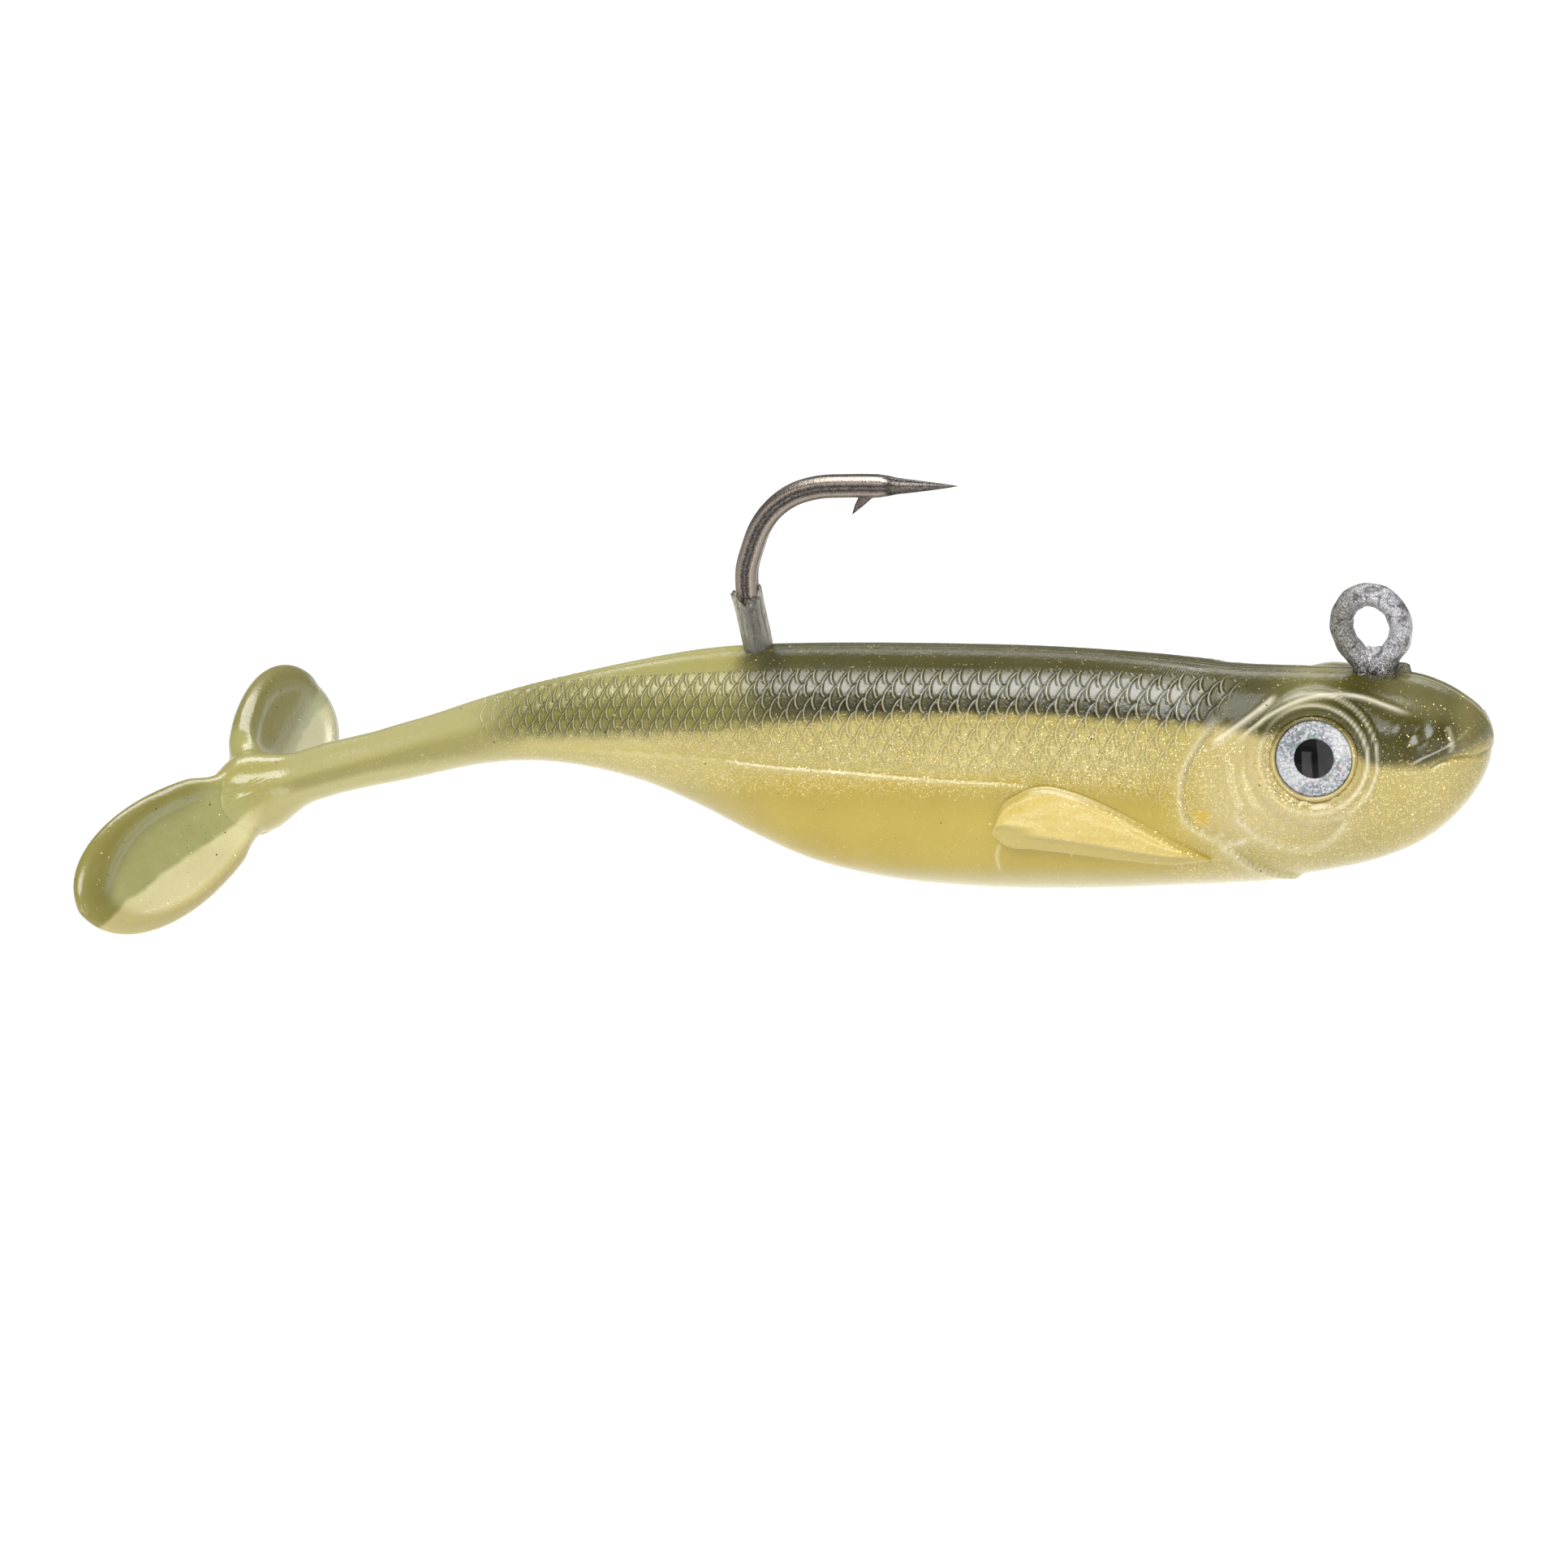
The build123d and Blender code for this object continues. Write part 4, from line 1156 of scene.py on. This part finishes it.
def skin_material():
    """Laminated soft plastic: smoky olive over gold glitter, with the lead and the yellow core showing through."""
    m = Nodes("laminated_plastisol")
    place = m.rest()
    x, _, z = m.split(place)
    wander = (m.noise(place, 0.35, 2.0) - 0.5) * 1.1
    line = m.curve((x + 44.0) / 100.0, POUR_LINE) * 10.0 - 0.9
    softness = x.step(-10.0, 12.0, 1.5, 0.85)
    olive = ((z - line + wander) / softness).step(-0.6, 0.6)

    # upper pour
    clear_olive = m.mix(z.step(6.0, 9.5), rgb(122, 117, 56), rgb(152, 146, 88))
    thick_olive = m.clouds(place, 0.5, 3.0, rgb(56, 53, 12), rgb(76, 72, 24))
    top = m.mix(x.step(40.0, 46.0), clear_olive, thick_olive)
    smoke = m.clouds(place, 0.30, 2.0, rgb(52, 50, 26), rgb(74, 71, 40))
    lead_seen = (x + (m.noise(place, 0.5, 2.0) - 0.5) * 3.0).step(-3.6, 1.6) * x.step(46.0, 38.0)
    top = m.mix(lead_seen * z.step(13.0, 10.9) * 0.92, top, smoke)
    # painted shadow on the back round where the hook's leg leaves it
    hook_shadow = (x - 0.2).op("ABSOLUTE").step(2.6, 0.6) * z.step(8.8, 10.6)
    top = m.mix(hook_shadow * 0.6, top, rgb(52, 50, 32))
    forehead = x.step(46.0, 50.0) * (z - (x - 46.0) * -0.28).step(7.0, 8.4)
    top = m.mix(forehead, top, m.clouds(place, 0.6, 2.0, rgb(92, 89, 50), rgb(112, 108, 70)))
    lip = x.step(52.4, 54.0)
    top = m.mix(lip * 0.8, top, rgb(126, 118, 74))

    # lower pour
    gold = m.clouds(place, 0.45, 3.0, rgb(156, 142, 74), rgb(177, 163, 96))
    core = x.step(-8.0, 4.0) * x.step(38.0, 30.0) * z.step(-6.6, -4.0) * z.step(3.4, 1.6)
    gold = m.mix(core * 0.9, gold, m.clouds(place, 0.16, 2.0, rgb(164, 140, 40), rgb(186, 166, 68)))
    gold = m.mix(core * z.step(-1.5, 1.5) * 0.35, gold, rgb(140, 120, 30))
    rear_green = x.step(0.0, -12.0) * x.step(-30.0, -20.0)
    gold = m.mix(rear_green * 0.6, gold, rgb(184, 172, 110))
    cheek = x.step(33.0, 37.0) * z.step(-4.0, -1.0)
    gold = m.mix(cheek * x.step(49.0, 44.0), gold, rgb(178, 163, 110))
    gold = m.mix(x.step(46.0, 52.0) * 0.8, gold, rgb(180, 165, 102))
    gold = m.mix(z.step(-4.6, -7.6) * 0.7, gold, rgb(202, 192, 148))
    pin = (x - 34.2).op("ABSOLUTE").most((z + 0.5).op("ABSOLUTE")).step(0.62, 0.40) * x.step(30.0, 31.0)
    gold = m.mix(pin * 0.8, gold, rgb(186, 156, 34))

    color = m.mix(olive, gold, top)
    stem_band = (z - line).op("ABSOLUTE").step(x.step(-34.0, -22.0, 0.85, 1.7), 0.15)
    stem_edge = m.mix((z - line).step(-1.2, 1.2), rgb(178, 170, 112), rgb(164, 158, 106))
    stem = m.mix(stem_band * 0.8, stem_edge, rgb(132, 125, 62))
    color = m.mix(x.step(-18.0, -25.0), color, stem)
    color = m.mix(x.step(-38.0, -42.0), color, fluke_color(m, place)[0])
    # painted highlights from the pale field and painted shade from the dark field
    color = m.mix(m.value("pale") * 0.72, color, rgb(238, 232, 206))
    color = m.mix(m.value("dark") * 0.5, color, rgb(46, 42, 14))

    # scales: painted highlight on each rolled edge, painted shade in the line behind it
    worn = m.value("scales")
    ahead, behind = free_edges(m, m.value("scale_u"), m.value("scale_v"))
    roll = ahead.step(0.0, 0.05) * ahead.step(0.21, 0.13)
    shade_line = behind.step(0.13, 0.03).most(ahead.step(0.18, 0.23) * ahead.step(0.33, 0.25) * 0.55)
    row = m.value("scale_v")
    fore = x.step(-2.0, 6.0)
    faces = ahead.step(0.22, 0.40) * worn
    # painted reflection of the overhead light: pale grey on the top row's faces, towards the head
    first_row_reflection = row.step(0.95, 0.35) * faces * fore * x.step(38.0, 34.0)
    color = m.mix(first_row_reflection * 0.5, color, rgb(148, 145, 128))
    # painted shade just behind the overlapping edges in the lower rows of the smoky pour
    lower_row_shade = row.step(0.8, 1.3) * olive * fore * worn * behind.step(0.7, 0.1)
    color = m.mix(lower_row_shade * 0.75, color, rgb(34, 32, 10))
    # in the smoky pour the painted shade behind each edge is near black; in the gold only a faint one
    deep = m.lerp(olive, 0.22, m.lerp(fore, 0.50, 0.85))
    black = m.mix(fore, rgb(62, 60, 24), rgb(24, 22, 6))
    color = m.mix(shade_line * worn * deep, color, m.mix(olive, rgb(110, 96, 40), black))
    # painted highlight along each rolled edge
    color = m.mix(roll * worn * m.lerp(olive, 0.30, 0.35), color, rgb(232, 226, 192))
    # painted shade in the pockets behind the edges of the lower rows, towards the tail
    pocket_shade = row.step(0.7, 1.2) * behind.step(0.75, 0.2) * worn * x.step(8.0, -4.0) * olive.step(0.05, 0.5)
    color = m.mix(pocket_shade * 0.45, color, rgb(92, 88, 42))

    # fine hatching above the top row of scales
    hatch_zone = row.step(-2.0, -1.5) * row.step(-0.6, -1.0) * x.step(2.0, 12.0) * x.step(36.0, 30.0)
    wave = ((x - z * 0.45) * (2.0 * math.pi / 0.21)).op("SINE")
    height = (roll * 0.12 - shade_line * 0.08) * worn * m.lerp(olive, 0.7, 1.0) + wave * hatch_zone * 0.016

    # glitter lies in the lower pour and thins out upwards
    shown = m.lerp(olive, 0.42, 0.03)
    flank = z.step(-1.5, 2.0) * z.step(6.4, 4.6)
    shown = shown + flank * x.step(42.0, 47.0, 0.36, 0.05)
    shown = shown * x.step(-26.0, 2.0, 0.08, 1.0)
    quiet = z.step(2.2, 0.6) * x.step(33.0, 30.0)
    shown = shown * (1.0 - quiet * 0.97)
    plastisol(m, color, place, shown, 0.24, height)
    brow = x.step(32.5, 35.0) * z.step(5.2, 6.4) * 0.8
    dull = (z.step(9.0, 10.2) * x.step(-14.0, -4.0)).most(brow)
    m.set(coat=0.25 - dull * 0.25, spec=0.5 - dull * 0.36)
    return m.mat


def fluke_color(m, place):
    """Fluke: olive on the trailing half, pale gold on the leading half, joining in one tone at the hub."""
    rel = m.vector("SUBTRACT", place, tuple(FLUKE_CENTRE))
    chord, span = [
        Field(m, m.add("ShaderNodeVectorMath", {0: rel, 1: tuple(way)}, "Value", operation="DOT_PRODUCT"))
        for way in (mid_chord, across)
    ]
    s = span.op("ABSOLUTE")
    wander = (m.noise(place, 0.5, 2.0) - 0.5) * 0.6
    front = (chord + wander + s.step(2.0, 16.0, -0.7, 0.5)).step(-0.22, 0.22)
    olive = m.clouds(place, 0.5, 3.0, rgb(152, 150, 92), rgb(168, 167, 112))
    gold = m.clouds(place, 0.6, 3.0, rgb(202, 192, 138), rgb(214, 206, 160))
    color = m.mix(front, olive, gold)
    root = m.mix(chord.step(0.2, 2.0), rgb(156, 148, 84), rgb(178, 167, 104))
    return m.mix(s.step(4.4, 1.6), color, root), front, s


def lobe_material():
    """Fluke lobes: the shared paint, darker in the thick rim, with dark flecks on the olive half."""
    m = Nodes("lobe_plastisol")
    place = m.rest()
    color, front, s = fluke_color(m, place)
    rim = m.value("rim") * s.step(2.5, 5.5)
    dark_rim = m.mix(front, rgb(122, 112, 46), rgb(176, 163, 104))
    color = m.mix(rim * 0.75, color, dark_rim)
    color = m.mix(m.value("clear") * 0.6, color, rgb(206, 208, 180))
    return plastisol(m, color, place, m.lerp(front, 0.008, 0.03), m.lerp(front, 0.9, 0.15))


def fin_material():
    """Pectoral fin: glittering gold leaf inside a clear rim."""
    m = Nodes("fin_plastisol")
    place = m.rest()
    z = m.split(place)[2]
    leaf = m.value("leaf")
    gold = m.clouds(place, 0.6, 3.0, rgb(188, 165, 76), rgb(206, 186, 112))
    color = m.mix(leaf, rgb(178, 160, 88), gold)
    ribs = (z * (2.0 * math.pi / 0.9) + m.noise(place, 0.8) * 3.0).op("SINE") * leaf * 0.012
    return plastisol(m, color, place, leaf * 0.42 + 0.03, 0.05, ribs)


def lip_material():
    m = Nodes("eye_lip_plastisol")
    place = m.rest()
    z = m.split(place)[2]
    up = (z + m.noise(place, 0.8) * 0.8).step(4.6, 6.6)
    color = m.mix(up, rgb(180, 164, 110), rgb(92, 86, 38))
    return plastisol(m, color, place, 0.22, 0.1)


def hook_material():
    """Black nickel over forged wire: mottled pressed faces, painted highlights on the rounded corners with painted
    shade along their edges, fine draw lines.
    """
    m = Nodes("hook_black_nickel")
    place = m.rest()
    edge = m.value("edge")
    mottled = m.noise(place, 7.0, 4.0, 0.6)
    color = m.mix(mottled.step(0.35, 0.65), rgb(62, 58, 54), rgb(108, 102, 97))
    # painted shade in a thin line along each corner's edge
    color = m.mix(edge.step(0.08, 0.2) * edge.step(0.45, 0.3) * 0.6, color, rgb(36, 33, 30))
    # painted highlight on the rounded corners
    color = m.mix(edge.step(0.4, 0.8) * 0.5, color, rgb(186, 172, 158))
    rough = mottled.step(0.3, 0.7, 0.24, 0.36)
    m.set(color=color, metal=1.0, rough=rough, normal=m.bump(m.noise(place, 9.0, 3.0), 0.00003))
    return m.mat


def tie_material():
    """Rough bright wire with dark grime in its hollows, with a painted highlight on its nose side and painted shade on
    its tail side.
    """
    m = Nodes("tie_bright_wire")
    place = m.rest()
    x, _, z = m.split(place)
    pits = m.noise(place, 7.5, 4.0, 0.65)
    grime = m.noise(place, 1.3, 4.0, 0.6, 0.6).step(0.50, 0.64)
    dirt = (grime * 0.7).most(z.step(10.6, 8.9) * pits.step(0.62, 0.42))
    # painted light: the nose side of the wire gets a painted highlight, the tail side painted shade
    side = (x + m.noise(place, 0.9, 3.0) * 1.6).step(45.6, 48.6)
    hollow = m.mix(side, rgb(92, 90, 86), rgb(134, 133, 134))
    worn = m.mix(side, rgb(186, 184, 178), rgb(232, 231, 236))
    color = m.mix(pits.step(0.3, 0.7), hollow, worn)
    color = m.mix(dirt, color, rgb(66, 61, 54))
    m.set(color=color, metal=1.0, rough=pits.step(0.3, 0.75, 0.34, 0.20), normal=m.bump(pits, 0.00012))
    return m.mat


def clear_material(name, tint, rough_low, rough_high, streak):
    """Clear soft plastic, scuffed and a little milky, with painted dark streaks along its folds for the dark
    surroundings seen through it.
    """
    m = Nodes(name)
    place = m.rest()
    x, y, z = m.split(place)
    scuff = m.noise(place, 2.4, 5.0, 0.7, 0.8)
    lines = scuff
    if streak:
        drawn_out = m.add("ShaderNodeCombineXYZ", {0: x * 3.2, 1: y * 3.2, 2: z * 0.55})
        lines = m.noise(drawn_out, 1.0, 4.0, 0.7, 0.4)
    # painted refraction: darker streaks for the dark surroundings seen through the plastic
    color = m.mix(lines.step(0.36, 0.50), rgb(120, 115, 100), tint)
    m.set(color=color, rough=scuff.step(0.35, 0.75, rough_low, rough_high), ior=1.46)
    m.set(normal=m.bump(lines, 0.00022), trans=lines.step(0.30, 0.48, 0.55, 0.95))
    return m.mat


def foil_material():
    """Silver holographic foil: brushed round the pupil and broken into faint colours."""
    m = Nodes("eye_silver_foil")
    place = m.rest()
    turn = m.value("turn")
    radius = m.value("radius")
    grain_color, _ = m.cells(place, 7.0)
    shade = m.split(grain_color)
    rays = m.noise(place, 3.0, 5.0, 0.7)
    pale = m.mix(shade[0].step(0.2, 0.9), rgb(128, 130, 134), rgb(208, 209, 212))
    color = m.mix(0.14, pale, grain_color)
    # painted sheen: two white bands round the pupil, as on brushed foil catching the light
    sheen = ((turn * (4.0 * math.pi) + 0.6).op("SINE")).step(-0.2, 1.0)
    color = m.mix(sheen * 0.35, color, rgb(255, 255, 255))
    color = m.mix(radius.step(2.72, 2.90) * 0.5, color, rgb(120, 122, 124))
    m.set(color=color, metal=1.0, rough=rays.step(0.3, 0.7, 0.30, 0.48))
    m.set(normal=m.bump(rays + shade[1] * 0.4, 0.00006))
    return m.mat


def pupil_material():
    m = Nodes("eye_black_pupil")
    dust = m.noise(m.rest(), 4.0, 3.0)
    m.set(color=m.mix(dust.step(0.5, 0.8), rgb(0, 0, 0), rgb(4, 4, 5)), rough=dust.step(0.3, 0.8, 0.4, 0.6), spec=0.05)
    return m.mat


def lens_material():
    m = Nodes("eye_clear_lens")
    haze = m.noise(m.rest(), 0.9, 3.0)
    m.set(color=m.mix(haze, (0.98, 0.985, 0.99, 1.0), (1.0, 1.0, 1.0, 1.0)), trans=1.0, ior=1.24)
    m.set(rough=haze.step(0.3, 0.8, 0.01, 0.03), normal=m.bump(haze, 0.000002))
    return m.mat


def lead_material():
    m = Nodes("cast_lead")
    place = m.add("ShaderNodeTexCoord", out="Object")
    grain = m.noise(place, 1800.0, 5.0, 0.7)
    m.set(color=m.mix(grain, rgb(70, 70, 72), rgb(112, 112, 114)), metal=0.9)
    m.set(rough=grain.step(0.3, 0.7, 0.45, 0.65), normal=m.bump(grain, 0.0001))
    return m.mat


def core_material():
    m = Nodes("core_plastisol")
    place = m.add("ShaderNodeTexCoord", out="Object")
    cloud = m.noise(place, 600.0, 4.0)
    m.set(color=m.mix(cloud, rgb(214, 182, 60), rgb(232, 204, 96)), rough=cloud.step(0.2, 0.8, 0.3, 0.45), sss=0.3)
    m.set(sss_radius=(1.0, 0.8, 0.3), sss_scale=0.001)
    return m.mat


def assign(piece, material):
    piece.data.materials.clear()
    piece.data.materials.append(material)


assign(skin, skin_material())
lobe_mat = lobe_material()
fin_mat = fin_material()
eye_mats = {"socket_lip": lip_material(), "foil": foil_material(), "pupil": pupil_material(), "lens": lens_material()}
for name in ("left", "right"):
    assign(lobes[name], lobe_mat)
    assign(fins[name], fin_mat)
    for part, material in eye_mats.items():
        assign(eye_pieces[name][part], material)
hook_mat = hook_material()
tie_mat = tie_material()
assign(hook, hook_mat)
assign(hook_barb, hook_mat)
assign(line_tie, tie_mat)
assign(tie_braze, tie_mat)
assign(hook_sleeve, clear_material("sleeve_clear_vinyl", rgb(246, 242, 228), 0.04, 0.2, True))
assign(tie_flash, clear_material("flash_clear_plastic", rgb(226, 220, 188), 0.05, 0.2, False))
assign(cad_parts["lead_insert"], lead_material())
assign(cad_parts["belly_core"], core_material())

# ------------------------------------------------------------------ what each piece rides on and stands for
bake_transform(skin)
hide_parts("olive_back", "gold_belly", "tail_olive", "tail_gold")
for name in ("left", "right"):
    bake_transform(lobes[name])
    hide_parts(name + "_lobe_olive", name + "_lobe_gold")
    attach(fins[name], name + "_fin")
    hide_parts(name + "_pectoral_fin")
    eye = eye_pieces[name]
    for part in eye.values():
        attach(part, "trunk")
    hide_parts(name + "_eye_foil")
    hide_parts(name + "_pupil")
    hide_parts(name + "_eye_lens")
for piece, node, slot in (
    (hook, "hook", "hook_wire"),
    (line_tie, "line_tie", "tie_wire"),
    (hook_sleeve, "hook_sleeve", "clear_sleeve"),
    (tie_flash, "tie_collar", "clear_sleeve"),
):
    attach(piece, "trunk")
    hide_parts(node)
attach(hook_barb, "trunk")
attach(tie_braze, "trunk")

# ------------------------------------------------------------------ floor, light, camera
scene = bpy.context.scene
scene.view_settings.view_transform = "Standard"
FLOOR_DROP = 0.22
bpy.ops.mesh.primitive_plane_add(size=24.0, location=(0, 0, cad_box[0].z - FLOOR_DROP))
floor = bpy.context.active_object
floor.name = "pale_floor"
fm = Nodes("pale_floor")
fm.set(color=(0.93, 0.93, 0.93, 1.0), rough=0.9, spec=0.0)
assign(floor, fm.mat)

# a studio that looks white to the lens and is dim round the object, so that its lamps model it
world = bpy.data.worlds.new("studio")
world.use_nodes = True
tree = world.node_tree
backdrop = tree.nodes["Background"]
backdrop.inputs[0].default_value = (1.0, 1.0, 1.0, 1.0)
ray = tree.nodes.new("ShaderNodeLightPath")
dim = tree.nodes.new("ShaderNodeMapRange")
dim.inputs[3].default_value = 0.24
dim.inputs[4].default_value = 1.0
tree.links.new(ray.outputs["Is Camera Ray"], dim.inputs[0])
tree.links.new(dim.outputs[0], backdrop.inputs[1])
scene.world = world

BODY_MIDDLE = vec((6.0, 0.0, 4.0))


def aim(light, azimuth, elevation, distance):
    a, e = math.radians(azimuth), math.radians(elevation)
    way = Vector((math.sin(a) * math.cos(e), -math.cos(a) * math.cos(e), math.sin(e)))
    light.location = BODY_MIDDLE + way * distance
    light.rotation_mode = "QUATERNION"
    light.rotation_quaternion = (-way).to_track_quat("-Z", "Y")
    scene.collection.objects.link(light)


def softbox(name, azimuth, elevation, distance, size, power):
    """A rectangular area light that faces the middle of the body."""
    data = bpy.data.lights.new(name, "AREA")
    data.shape = "RECTANGLE"
    data.size, data.size_y = size
    data.energy = power
    aim(bpy.data.objects.new(name, data), azimuth, elevation, distance)


def dome_sun(name, azimuth, elevation, spread, strength):
    """A broad round source, far off, that lights floor and body evenly."""
    data = bpy.data.lights.new(name, "SUN")
    data.angle = math.radians(spread)
    data.energy = strength
    aim(bpy.data.objects.new(name, data), azimuth, elevation, 2.0)


dome_sun("overhead_dome", -14.0, 58.0, 40.0, 3.15)
softbox("eye_window", -3.5, -3.0, 0.50, (0.11, 0.30), 0.45)
softbox("front_fill", 38.0, 8.0, 0.9, (0.4, 0.3), 0.5)
softbox("overhead_rear", 188.0, 46.0, 0.8, (0.8, 0.24), 3.6)

CAM_AZ, CAM_EL, CAM_LENS, CAM_SENSOR, CAM_DISTANCE = 20.0, 20.0, 200.0, 36.0, 0.65688
az, el = math.radians(CAM_AZ), math.radians(CAM_EL)
back = Vector((math.sin(az) * math.cos(el), -math.cos(az) * math.cos(el), math.sin(el)))
right = Vector((math.cos(az), math.sin(az), 0.0))
up = back.cross(right)
roll = -math.atan(math.tan(az) * math.sin(el))      # turned so that the body lies level
right, up = right * math.cos(roll) + up * math.sin(roll), up * math.cos(roll) - right * math.sin(roll)
cam_data = bpy.data.cameras.new("camera")
cam_data.lens = CAM_LENS
cam_data.sensor_width = CAM_SENSOR
cam_data.clip_start = 0.01
cam_data.clip_end = 100.0
camera = bpy.data.objects.new("camera", cam_data)
place = vec((0.0, 0.0, 0.0)) + back * CAM_DISTANCE
camera.matrix_world = Matrix((
    (right.x, up.x, back.x, place.x),
    (right.y, up.y, back.y, place.y),
    (right.z, up.z, back.z, place.z),
    (0.0, 0.0, 0.0, 1.0),
))
scene.collection.objects.link(camera)
scene.camera = camera
